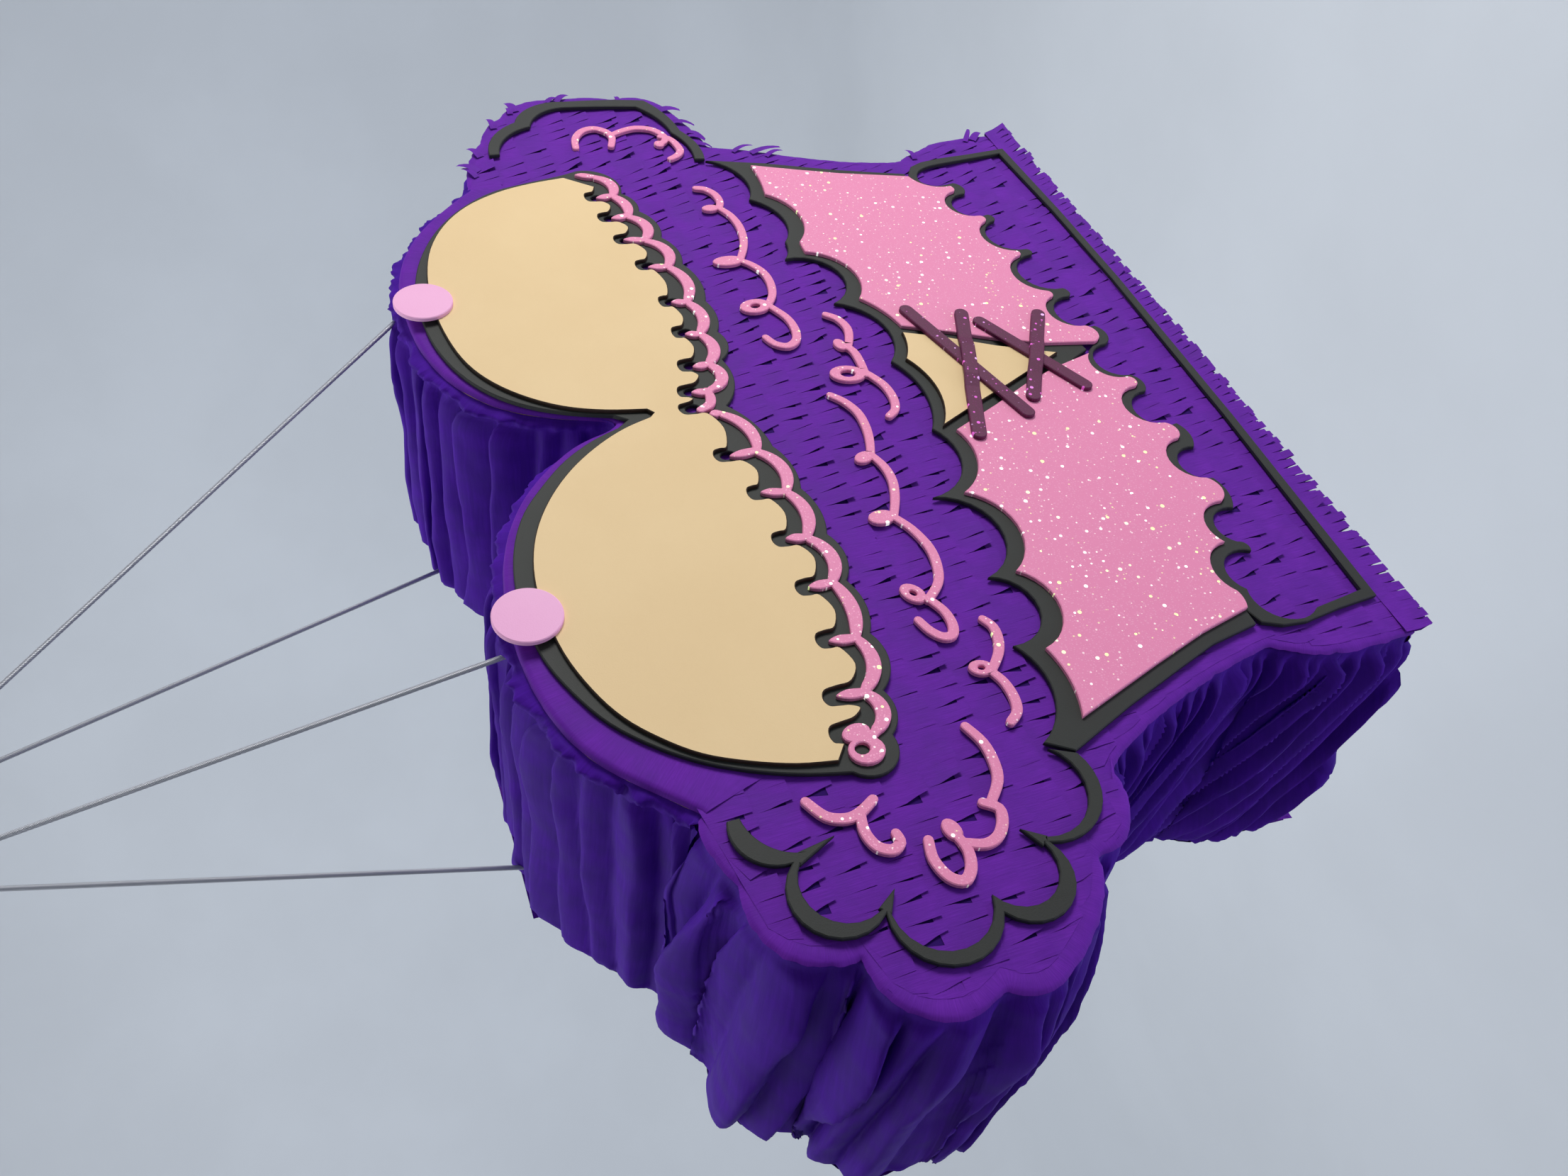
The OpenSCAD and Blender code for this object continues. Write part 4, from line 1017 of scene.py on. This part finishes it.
@dataclass
class FringedPanel:
    """A panel's flat crepe backing with rows of fringed strips over it."""

    name: str
    outline: Outline
    facing: Facing
    face: float
    top: float
    bottom: float
    covered: tuple[float, float, float] | None = None
    opening: tuple[float, float, float, float] | None = None
    trim: BVHTree | None = None
    pitch: float = ROW_PITCH
    overlap: float = ROW_OVERLAP
    margin: float = 0.002
    wide_margin: float = 0.0055
    sink: float = 0.012
    reach: float = 0.03
    seed: int = 5

    def edge(self, x: float, z: float, home: tuple[float, float]) -> tuple[float, float]:
        """Keeps a tab's x inside the part of the outline that its strip is in.

        Args:
            x: The wanted place across.
            z: The height.
            home: The strip's own stretch of x.

        Returns:
            The place across, and how far the strip stands up there, from 0 at the outline to 1.
        """
        middle = (home[0] + home[1]) / 2
        spans = self.outline.spans(z)
        low, high = min(spans, key=lambda s: max(s[0] - middle, middle - s[1], 0.0)) if spans else home
        if max(low - middle, middle - high) > self.reach:
            low, high = home
        fray = 0.0008 * wave(z * 300, x * 10, self.seed)
        near = self.wide_margin if z > self.bottom + 0.2 else self.margin
        x = min(max(x, low + near + fray), high - near + fray)
        return x, 0.12 + 0.88 * smooth(0.0, self.sink, min(x - low, high - x) - near)

    def is_free(self, x: float, z: float) -> bool:
        """Returns whether no trim lies over a place, or within a tab's width of it."""
        if self.trim is None:
            return True
        out = Vector((0.0, self.facing.value, 0.0))
        return not any(self.trim.ray_cast(Vector((x + dx, self.face, z + dz)), out, 0.02)[0]
                       for dx in (-0.005, 0.0, 0.005, 0.008) for dz in (-0.003, 0.003, 0.009))

    def pieces_of(self, low: float, high: float, z: float) -> list[tuple[float, float]]:
        """Splits a row's span where trim covers it or where the filler opening is."""
        gaps = []
        if self.covered and z > self.covered[2]:
            gaps.append(self.covered[:2])
        if self.opening and self.opening[2] - self.pitch < z < self.opening[3] + 0.001:
            gaps.append(self.opening[:2])
        spans = [(low, high)]
        for left, right in gaps:
            cut = [part for a, b in spans for part in ((a, min(b, left)), (max(a, right), b))]
            spans = [part for part in cut if part[1] - part[0] > 0.004]
        return spans

    def build(self) -> bpy.types.Object:
        """Builds every row, from the lowest up."""
        strips = FringeStrips(self.facing, TabStyle(), random.Random(self.seed), self.is_free)
        y_top, y_low = (self.face + self.facing.value * stand for stand in (0.0006, 0.0014))
        rows = math.ceil((self.top - self.bottom) / self.pitch)
        for row in range(rows):
            low = self.bottom + row * self.pitch + 0.0005
            high = min(low + self.pitch + self.overlap, self.top - 0.0006)
            if high - low < 0.006:
                continue
            for left, right in self.outline.spans(min(low + self.pitch * 0.5, self.top - 0.003)):
                for a, b in self.pieces_of(left, right, low + 0.004):
                    strips.strip(a, b, high, low, y_top, y_low, self.edge)
            if self.opening and low < self.opening[2] - 0.005 < high - 0.005:
                left, right, sill, _ = self.opening
                strips.strip(left + 0.0002, right - 0.0002, sill - 0.0004, low, y_top, y_low)
        return strips.done(self.name, Palette.crepe_front.material())

    def backing(self, name: str, node: bpy.types.Object) -> bpy.types.Object:
        """Builds the plain crepe under the rows from the panel's own outline, in a dark purple that is painted shade
        for the slits between the tabs.
        """
        bm = bmesh.new()
        bm.from_mesh(node.data)
        bmesh.ops.remove_doubles(bm, verts=bm.verts, dist=WELD)
        bm.normal_update()
        bmesh.ops.delete(bm, geom=[f for f in bm.faces if f.normal.y * self.facing.value < 0.99], context="FACES")
        for vert in bm.verts:
            vert.co.y = self.face + self.facing.value * 0.0003
        mark_uv(bm, {vert: (vert.co.x, vert.co.z) for vert in bm.verts})
        # The backing's dark purple is painted shade.
        return finished(name, bm, Palette.crepe_shade_backing.material(), False)


@dataclass
class HemFringe:
    """Layers of ragged fringe hanging from the hem's front or back edge."""

    name: str
    left: float
    right: float
    top: float
    drop: float
    face: float
    facing: Facing
    seed: int

    def build(self) -> bpy.types.Object:
        """Builds three layers, each a little behind the last."""
        style = TabStyle(width=0.0056, slit=0.55, open_share=0.6, open_gap=0.0016, lift=0.0008, curl=0.002,
                         ragged=0.0018, lean_left=-0.05, lean_right=0.5)
        strips = FringeStrips(self.facing, style, random.Random(self.seed))
        out = self.facing.value
        for layer in range(3):
            near = self.face + out * (0.0016 - 0.0007 * layer)
            tips = self.top - self.drop * (0.62 + 0.1 * layer)
            strips.strip(self.left - 0.001, self.right + 0.002, self.top + 0.006, tips, near, near + out * 0.0004)
        return strips.done(self.name, Palette.crepe_front.material())


# Stray ends at the right waist as (share of the way along it, length, swing)
WAIST_STRAYS = ((0.10, 0.011, 0.9), (0.16, 0.016, 1.3), (0.2, 0.009, 0.7),
                (0.66, 0.007, 0.6), (0.9, 0.013, 0.8), (0.93, 0.009, 1.0))


@dataclass
class StrayStrips:
    """Loose ends of fringe that stick out past the body's right side and its hem corner."""

    name: str
    outline: Outline
    face: float
    spots: Sequence[tuple[float, float, float]]
    seed: int = 31

    def build(self) -> bpy.types.Object:
        """Builds one curled tab at each spot, given as (run, length, swing)."""
        rng = random.Random(self.seed)
        bm = bmesh.new()
        places = {}
        for run, length, swing in self.spots:
            corners = grid(bm, 2, 5)
            point, out = self.outline.eased(run, 0.004)
            along = Vector((out.y, -out.x))
            way = (out + along * swing).normalized()
            side = Vector((-way.y, way.x))
            width = rng.uniform(0.003, 0.006)
            curl = rng.uniform(-0.25, 0.35)
            for (column, row), vert in corners.items():
                t = row / 5
                reach = -0.006 + (length + 0.006) * t
                taper = width * (1 - 0.55 * t * t)
                spot = point + way * reach + side * ((column / 2 - 0.5) * taper + curl * length * t * t * 0.4)
                vert.co = (spot.x, self.face - 0.0016 - 0.0012 * math.sin(math.pi * t) + 0.0015 * t * t, spot.y)
                places[vert] = (run + column * 0.002, reach)
        mark_uv(bm, places)
        face_out(bm, Facing.FRONT)
        return finished(self.name, bm, Palette.crepe_front.material())


# --- Foam trim --------------------------------------------------------------------------------


@dataclass
class FoamTrim:
    """A piece cut from foam sheet, with its cut edge slightly rounded."""

    node: str
    finish: Finish
    slot: str
    edge: float = 0.00045
    thick: float = 0.002
    side: Finish | None = None

    def build(self) -> bpy.types.Object:
        """Builds the piece from its cut shape: the front face, a rounded edge, the sides and the back."""
        bm = bmesh.new()
        bm.from_mesh(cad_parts[self.node].data)
        bmesh.ops.remove_doubles(bm, verts=bm.verts, dist=2e-6)
        bm.normal_update()
        low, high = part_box(self.node)
        bmesh.ops.delete(bm, geom=[f for f in bm.faces if f.normal.y > -0.3], context="FACES")
        front = list(bm.faces)
        fronts = [v.co.y for v in bm.verts]
        depth = high.y - low.y if max(fronts) - min(fronts) < 1e-5 else self.thick
        rim = [e for e in bm.edges if e.is_boundary]
        walls = bmesh.ops.extrude_edge_only(bm, edges=rim)["geom"]
        rear = [v for v in walls if isinstance(v, bmesh.types.BMVert)]
        bmesh.ops.translate(bm, verts=rear, vec=(0.0, depth, 0.0))
        bmesh.ops.inset_region(bm, faces=front, thickness=self.edge, depth=0.0, use_even_offset=True, use_boundary=True)
        corner = {v for e in rim for v in e.verts}
        bmesh.ops.translate(bm, verts=list(corner), vec=(0.0, self.edge * 0.8, 0.0))
        rear_rim = [e for e in bm.edges if e.is_boundary]
        bmesh.ops.triangle_fill(bm, use_beauty=True, edges=rear_rim, normal=(0.0, 1.0, 0.0))
        bmesh.ops.recalc_face_normals(bm, faces=bm.faces)
        if sum(f.normal.y * f.calc_area() for f in front if f.is_valid) > 0:
            bmesh.ops.reverse_faces(bm, faces=bm.faces)
        # A side finish, where given, paints shade onto the cut edges.
        if self.side is not None:
            for face in bm.faces:
                face.material_index = 0 if face.normal.y < -0.9 else 1
        piece = finished("trim_" + self.node, bm, self.finish.material(), False)
        if self.side is not None:
            piece.data.materials.append(self.side.material())
        return settle(piece, Body.PINATA, [self.node])


# What is cut from each foam sheet, by material slot
FOAM = {
    "foam_black": (Palette.foam_black, (
        "cup_backing", "ruffle_line_left", "ruffle_line_right", "waist_backing", "hem_line")),
    "foam_skin": (Palette.foam_skin, ("cup_skin", "waist_skin")),
    "foam_pink_glitter": (Palette.glitter_pink, (
        "cup_trim_left", "cup_trim_right", "swirl_ruffle_left_top", "swirl_ruffle_left_low",
        "swirl_band_left_short", "swirl_band_left_long", "swirl_band_middle", "swirl_band_right_long",
        "swirl_ruffle_right", "waist_panel_left", "waist_panel_right")),
    "foam_plum_glitter": (Palette.glitter_plum, ("lace_2", "lace_4", "lace_1", "lace_3")),
    "foam_pale_pink": (Palette.foam_dot, ("dot_left", "dot_right")),
}


# --- Cords, loops and knots -------------------------------------------------------------------


@dataclass
class Suspension:
    """The four taut cords and their loops and knots under the ring."""

    thick: float = 0.0025
    lay: float = 0.0075
    knot_size: float = 0.00098
    ring_mid: float = 0.0235
    loop_angle: float = 48.0
    loop_drop: float = 0.0092
    tail: float = 0.010
    holes: tuple = (
        ("cord_front_left", -1, 0, (-0.0210, -0.0690, -0.2830)),
        ("cord_back_left", -1, 1, (-0.0390, 0.0730, -0.2840)),
        ("cord_front_right", 1, 0, (0.2100, -0.0690, -0.2775)),
        ("cord_back_right", 1, 1, (0.1630, 0.0730, -0.2815)),
    )

    def knot_place(self, side: int) -> Vector:
        """Returns the middle of the knot on one side of the ring."""
        angle = math.radians(self.loop_angle)
        return Vector((side * self.ring_mid * math.sin(angle), 0.0, -self.ring_mid * math.cos(angle) - self.loop_drop))

    def route(self, side: int, back: int, hole: Vector) -> list[Vector]:
        """Returns a cord's centreline, from its stopper inside the card to its knot."""
        high = self.knot_place(side) + Vector((0.0, 0.0016 if back else -0.0016, -0.0015))
        way = (high - hole).normalized()
        low = hole - way * self.tail
        steps = round((high - low).length / 0.0011)
        return [low.lerp(high, i / steps) for i in range(steps + 1)]

    def cords(self) -> list[bpy.types.Object]:
        """Builds the four cords."""
        made = []
        for node, side, back, hole in self.holes:
            bm = bmesh.new()
            route = self.route(side, back, Vector(hole))
            tube(bm, route, self.thick / 2, 12, 3, self.lay)
            piece = finished(node + "_twisted", bm, Palette.cord.material())
            made.append(settle(piece, Body.PINATA, [node]))
        return made

    def knot(self, side: int) -> bpy.types.Object:
        """Builds the loop round the ring's wire and the knot that closes it."""
        middle = self.knot_place(side)
        loop_r = self.loop_drop - 0.0026
        top = middle + Vector((0.0, 0.0, self.loop_drop))
        bm = bmesh.new()
        angles = [math.tau * i / 72 for i in range(73)]
        loop = [top + Vector((0.0, math.sin(t), math.cos(t))) * loop_r for t in angles]
        tube(bm, loop, self.thick / 2, 12, 3, self.lay)
        angles = [math.tau * i / 120 for i in range(121)]
        wrap = [Vector((math.sin(3 * t), math.sin(t) + 1.6 * math.sin(2 * t), math.cos(t) - 1.6 * math.cos(2 * t)))
                for t in angles]
        tube(bm, [middle + turn * self.knot_size for turn in wrap], 0.00105, 12, 3, self.lay)
        name = "knot_left" if side < 0 else "knot_right"
        piece = finished(name + "_tied", bm, Palette.cord.material())
        return settle(piece, Body.PINATA, [name])

    def build(self) -> None:
        knots = {side: self.knot(side) for side in (-1, 1)}
        for piece, (node, side, back, hole) in zip(self.cords(), self.holes):
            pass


# --- Filler flap ------------------------------------------------------------------------------


@dataclass
class FillerFlap:
    """The flap's fringed crepe, its masking tape hinge and its ribbon tab."""

    wrinkle: float = 0.00012
    bend: float = 0.0025
    tape_cells: tuple[int, int] = (48, 40)
    tab_cells: tuple[int, int] = (12, 24)

    def cover(self) -> None:
        """Builds the fringed crepe on the flap."""
        low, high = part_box("flap_crepe")
        corners = ((low.x, low.z), (low.x, high.z), (high.x, high.z), (high.x, low.z))
        outline = Outline.through([Vector(corner) for corner in corners])
        panel = FringedPanel("flap_fringe", outline, Facing.BACK, low.y, high.z, low.z, seed=71)
        settle(panel.build(), Body.FLAP, ["flap_crepe"])
        piece = settle(panel.backing("flap_backing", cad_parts["flap_panel"]), Body.FLAP)

    def tape(self) -> None:
        """Builds the tape over the fold between the body and the flap."""
        low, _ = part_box("flap_tape_moving")
        _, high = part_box("flap_tape_fixed")
        bm = bmesh.new()
        columns, rows = self.tape_cells
        corners = grid(bm, columns, rows)
        places = {}
        for (column, row), vert in corners.items():
            x = low.x + (high.x - low.x) * column / columns
            z = low.z + (high.z - low.z) * row / rows
            x += 0.0004 * wave(z * 300, 1.0) if column in (0, columns) else 0.0
            ripple = self.wrinkle * wave(x * 120, z * 200, 1.0) + 0.0001 * wave(x * 500, z * 60, 1.0)
            vert.co = (x, low.y + 0.0003 + ripple, z)
            places[vert] = (x, z)
        mark_uv(bm, places)
        face_towards(bm, corners[(5, 5)], Vector((0.0, 1.0, 0.0)))
        bmesh.ops.solidify(bm, geom=bm.faces, thickness=0.0002)
        piece = finished("flap_tape", bm, Palette.tape.material())
        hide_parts("flap_tape_fixed", "flap_tape_moving")
        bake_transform(piece)

    def tab(self) -> None:
        """Builds the folded ribbon that opens the flap."""
        low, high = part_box("flap_tab")
        bm = bmesh.new()
        columns, rows = self.tab_cells
        corners = grid(bm, columns, rows)
        places = {}
        middle = (low.x + high.x) / 2
        for (column, row), vert in corners.items():
            t = row / rows
            z = low.z + (high.z - low.z) * t
            pinch = 1 - 0.12 * smooth(0.45, 0.6, t)
            x = middle + (low.x + (high.x - low.x) * column / columns - middle) * pinch
            belly = 0.0012 * math.sin(math.pi * min(1.0, t / 0.55)) ** 2
            vert.co = (x, high.y - 0.0002 + belly + 0.0002 * wave(x * 90, z * 90, 6.0), z)
            places[vert] = (x, z)
        mark_uv(bm, places)
        face_towards(bm, corners[(5, 5)], Vector((0.0, 1.0, 0.0)))
        bmesh.ops.solidify(bm, geom=bm.faces, thickness=0.0004)
        settle(finished("flap_ribbon_tab", bm, Palette.ribbon.material()), Body.FLAP, ["flap_tab"])

    def build(self) -> None:
        """Builds the flap's soft pieces."""
        self.cover()
        self.tape()
        self.tab()


# --- The covered body -------------------------------------------------------------------------


@dataclass
class CoveredBody:
    """All of the body's crepe and foam."""

    outline: Outline
    lap: float = 0.002
    cleft_gap: float = 0.0007
    covered_inset: float = 0.034
    covered_rise: float = 0.045
    opening_gap: tuple[float, float] = (0.002, 0.001)

    def walls(self) -> None:
        """Builds the gathered covers."""
        low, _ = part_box("front_panel")
        _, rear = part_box("back_panel")
        cleft = self.outline.stretch(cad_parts["wall_dome_left"])[1]
        for seed, (name, style) in enumerate(PLEATS.items(), 11):
            start, end = self.outline.stretch(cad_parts["wall_" + name])
            first = start + (self.cleft_gap if name == "dome_right" else -self.lap)
            last = end - (self.cleft_gap if name == "dome_left" else -self.lap)
            at_cleft = cleft if name.startswith("dome") else -1.0
            wall = GatheredWall("gathered_" + name, self.outline, first, last, style, low.y, rear.y, seed, at_cleft)
            piece = settle(wall.build(), Body.PINATA, ["crepe_" + name])

    @staticmethod
    def cover(panel: FringedPanel, side: str) -> None:
        """Builds one cover's fringe and the plain crepe under it.

        Args:
            panel: The cover.
            side: Which panel it lies on, front or back.
        """
        under = side + "_panel"
        settle(panel.build(), Body.PINATA)
        piece = panel.backing(side + "_crepe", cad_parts[under])
        settle(piece, Body.PINATA, ["crepe_" + side])

    def panels(self) -> None:
        """Builds the front and back covers with their fringe."""
        face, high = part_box("front_panel")
        _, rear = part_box("back_panel")
        cup_low, cup_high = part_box("cup_backing")
        flap_low, flap_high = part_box("flap_panel")
        covered = (cup_low.x + self.covered_inset, cup_high.x - self.covered_inset, cup_low.z + self.covered_rise)
        foam = self.trim_tree(node for _, nodes in FOAM.values() for node in nodes)
        self.cover(FringedPanel("front_fringe", self.outline, Facing.FRONT, face.y, high.z, face.z,
                                covered=covered, trim=foam), "front")
        side, end = self.opening_gap
        opening = (flap_low.x - side, flap_high.x + side, flap_low.z - end, flap_high.z + end)
        self.cover(FringedPanel("back_fringe", self.outline, Facing.BACK, rear.y, high.z, face.z, seed=9,
                                opening=opening, trim=self.trim_tree(["flap_tape_fixed"])), "back")

    def bands(self) -> None:
        """Builds the plain bands round the cups and the lips round the rest of the outline."""
        face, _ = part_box("front_panel")
        _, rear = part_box("back_panel")
        domes = {name: self.outline.stretch(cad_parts["wall_" + name]) for name in ("dome_left", "dome_right")}
        for name, (start, end) in domes.items():
            band = RimBand("rim_band_" + name, self.outline, start, end, face.y, Facing.FRONT, CUP_BAND)
            settle(band.build(), Body.PINATA)
        whole = self.outline.length
        lips = (("front_left", 0.0, domes["dome_left"][0], face.y, Facing.FRONT),
                ("front_right", domes["dome_right"][1], whole, face.y, Facing.FRONT),
                ("back", 0.0, whole, rear.y, Facing.BACK))
        for label, start, end, y, facing in lips:
            lip = RimBand("lip_" + label, self.outline, start, end, y, facing, LIP, ease=0.006, step=0.002)
            settle(lip.build(), Body.PINATA)

    @staticmethod
    def trim_tree(nodes: Iterable[str]) -> BVHTree:
        """Builds a tree of faces that lie over the crepe, to tell where it has room to curl.

        Args:
            nodes: The CAD nodes that lie over the crepe.

        Returns:
            The tree of their faces.
        """
        bm = bmesh.new()
        for node in nodes:
            bm.from_mesh(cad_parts[node].data)
        tree = BVHTree.FromBMesh(bm)
        bm.free()
        return tree

    def fringe(self) -> None:
        """Builds the hanging fringe under the hem and the loose ends on the right."""
        low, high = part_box("wall_hem")
        fringe_low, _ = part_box("hem_fringe_front")
        face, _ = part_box("front_panel")
        _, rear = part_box("back_panel")
        drop = high.z - fringe_low.z
        for label, y, facing, seed in (("front", face.y, Facing.FRONT, 41), ("back", rear.y, Facing.BACK, 42)):
            hem = HemFringe("hanging_fringe_" + label, low.x, high.x, high.z - 0.002, drop, y, facing, seed)
            piece = settle(hem.build(), Body.PINATA, ["hem_fringe_" + label])
        rng = random.Random(17)
        ruffle = self.outline.stretch(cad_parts["wall_ruffle_right"])
        waist = self.outline.stretch(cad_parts["wall_waist_right"])
        spots = [(waist[0] + (waist[1] - waist[0]) * share, length, swing) for share, length, swing in WAIST_STRAYS]
        spots += [(rng.uniform(*ruffle), rng.uniform(0.003, 0.009), rng.uniform(0.2, 1.4)) for _ in range(14)]
        settle(StrayStrips("stray_fringe", self.outline, face.y, spots).build(), Body.PINATA)

    def foam(self) -> None:
        """Builds every piece of foam trim."""
        for slot, (finish, nodes) in FOAM.items():
            # The skin's cut edges get a dark brown: painted shade.
            side = Palette.skin_edge_shade if slot == "foam_skin" else None
            for node in nodes:
                FoamTrim(node, finish, slot, side=side).build()

    def build(self) -> None:
        """Builds the covers and the trim."""
        self.walls()
        self.panels()
        self.bands()
        self.fringe()
        self.foam()


# --- Kept CAD parts ---------------------------------------------------------------------------


def dress_kept_nodes() -> None:
    """Gives the card, ring and anchors that keep their own shape their finishes."""
    card = ["front_panel", "back_panel", "flap_panel", "anchor_discs"]
    card += [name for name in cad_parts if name.startswith("wall_")]
    wire = ["hang_ring", "anchor_knots"]
    for names, finish in ((card, Palette.card), (wire[:1], Palette.ring), (wire[1:], Palette.cord)):
        for name in names:
            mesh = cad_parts[name].data
            mesh.materials.clear()
            mesh.materials.append(finish.material())
    for name in wire:
        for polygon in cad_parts[name].data.polygons:
            polygon.use_smooth = True


# --- Studio -----------------------------------------------------------------------------------


@dataclass
class Studio:
    """A pale round studio, its lights and the camera."""

    lens: float = 29.78
    view_from: tuple[float, float, float] = (-0.3534, -0.4883, -0.22435)
    view_right: tuple[float, float, float] = (-0.34519771, -0.11710142, -0.9311959)
    view_up: tuple[float, float, float] = (0.72488809, -0.66348122, -0.18528337)
    floor_z: float = -1.5
    radius: float = 3.4
    cove: float = 1.0
    wall: float = 2.6

    def camera(self) -> None:
        """Places the camera in front of the body's left side, turned on its side."""
        data = bpy.data.cameras.new("view")
        data.sensor_width = 36.0
        data.lens = self.lens
        data.clip_start, data.clip_end = 0.02, 30.0
        camera = bpy.data.objects.new("view", data)
        bpy.context.scene.collection.objects.link(camera)
        right, up = Vector(self.view_right), Vector(self.view_up)
        turn = Matrix((right, up, right.cross(up))).transposed().to_4x4()
        camera.matrix_world = Matrix.Translation(self.view_from) @ turn
        bpy.context.scene.camera = camera

    def shell(self) -> None:
        """Builds the floor and the curved wall round it by spinning a profile."""
        bm = bmesh.new()
        profile = [Vector((0.0, 0.0, self.floor_z)), Vector((self.radius - self.cove, 0.0, self.floor_z))]
        for i in range(1, 13):
            t = math.pi / 2 * i / 12
            reach = self.radius - self.cove + self.cove * math.sin(t)
            profile.append(Vector((reach, 0.0, self.floor_z + self.cove * (1 - math.cos(t)))))
        profile.append(Vector((self.radius, 0.0, self.floor_z + self.cove + self.wall)))
        verts = [bm.verts.new(p) for p in profile]
        edges = [bm.edges.new(pair) for pair in zip(verts, verts[1:])]
        bmesh.ops.spin(bm, geom=verts + edges, cent=(0, 0, 0), axis=(0, 0, 1), angle=math.tau, steps=96, use_merge=True)
        bmesh.ops.remove_doubles(bm, verts=bm.verts, dist=1e-5)
        bmesh.ops.recalc_face_normals(bm, faces=bm.faces)
        finished("studio_shell", bm, Palette.floor.material())

    @staticmethod
    def light(name: str, place: Vector, aim: Vector, size: float, power: float,
              colour: tuple[float, float, float]) -> None:
        """Adds a soft square light.

        Args:
            name: The light's name.
            place: Where it stands.
            aim: What it points at.
            size: Its side.
            power: Its power in watts.
            colour: Its colour.
        """
        data = bpy.data.lights.new(name, "AREA")
        data.shape, data.size, data.energy, data.color = "SQUARE", size, power, colour
        lamp = bpy.data.objects.new(name, data)
        bpy.context.scene.collection.objects.link(lamp)
        lamp.location = place
        lamp.rotation_mode = "QUATERNION"
        lamp.rotation_quaternion = (aim - place).to_track_quat("-Z", "Y")

    def build(self) -> None:
        """Builds the studio."""
        scene = bpy.context.scene
        scene.view_settings.view_transform = "Standard"
        world = bpy.data.worlds.new("studio_air")
        world.use_nodes = True
        air = world.node_tree.nodes["Background"]
        air.inputs["Color"].default_value = (0.80, 0.87, 1.0, 1.0)
        air.inputs["Strength"].default_value = 0.09
        scene.world = world
        self.shell()
        middle = Vector((0.09, 0.0, -0.47))
        self.light("key", middle + Vector((1.0, -1.6, -0.1)), middle, 0.7, 27.0, (1.0, 0.985, 0.96))
        self.light("low", middle + Vector((-0.75, -0.35, -0.95)), middle, 0.3, 3.6, (0.72, 0.66, 1.0))
        self.light("back", Vector((0.5, 0.8, 0.9)), Vector((1.3, 1.7, -1.5)), 2.2, 34.0, (0.93, 0.96, 1.0))


# --- Main -------------------------------------------------------------------------------------


def main() -> None:
    """Builds the camera and cords first, then the rest, and reports each piece."""
    logging.basicConfig(level=logging.INFO, format="%(name)s: %(message)s")
    studio = Studio()
    studio.camera()
    Suspension().build()
    studio.build()
    hem_low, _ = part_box("wall_hem")
    outline = Outline.of(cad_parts["front_panel"], Vector((hem_low.x, hem_low.z)))
    CoveredBody(outline).build()
    FillerFlap().build()
    dress_kept_nodes()


if __name__ == "__main__":
    main()
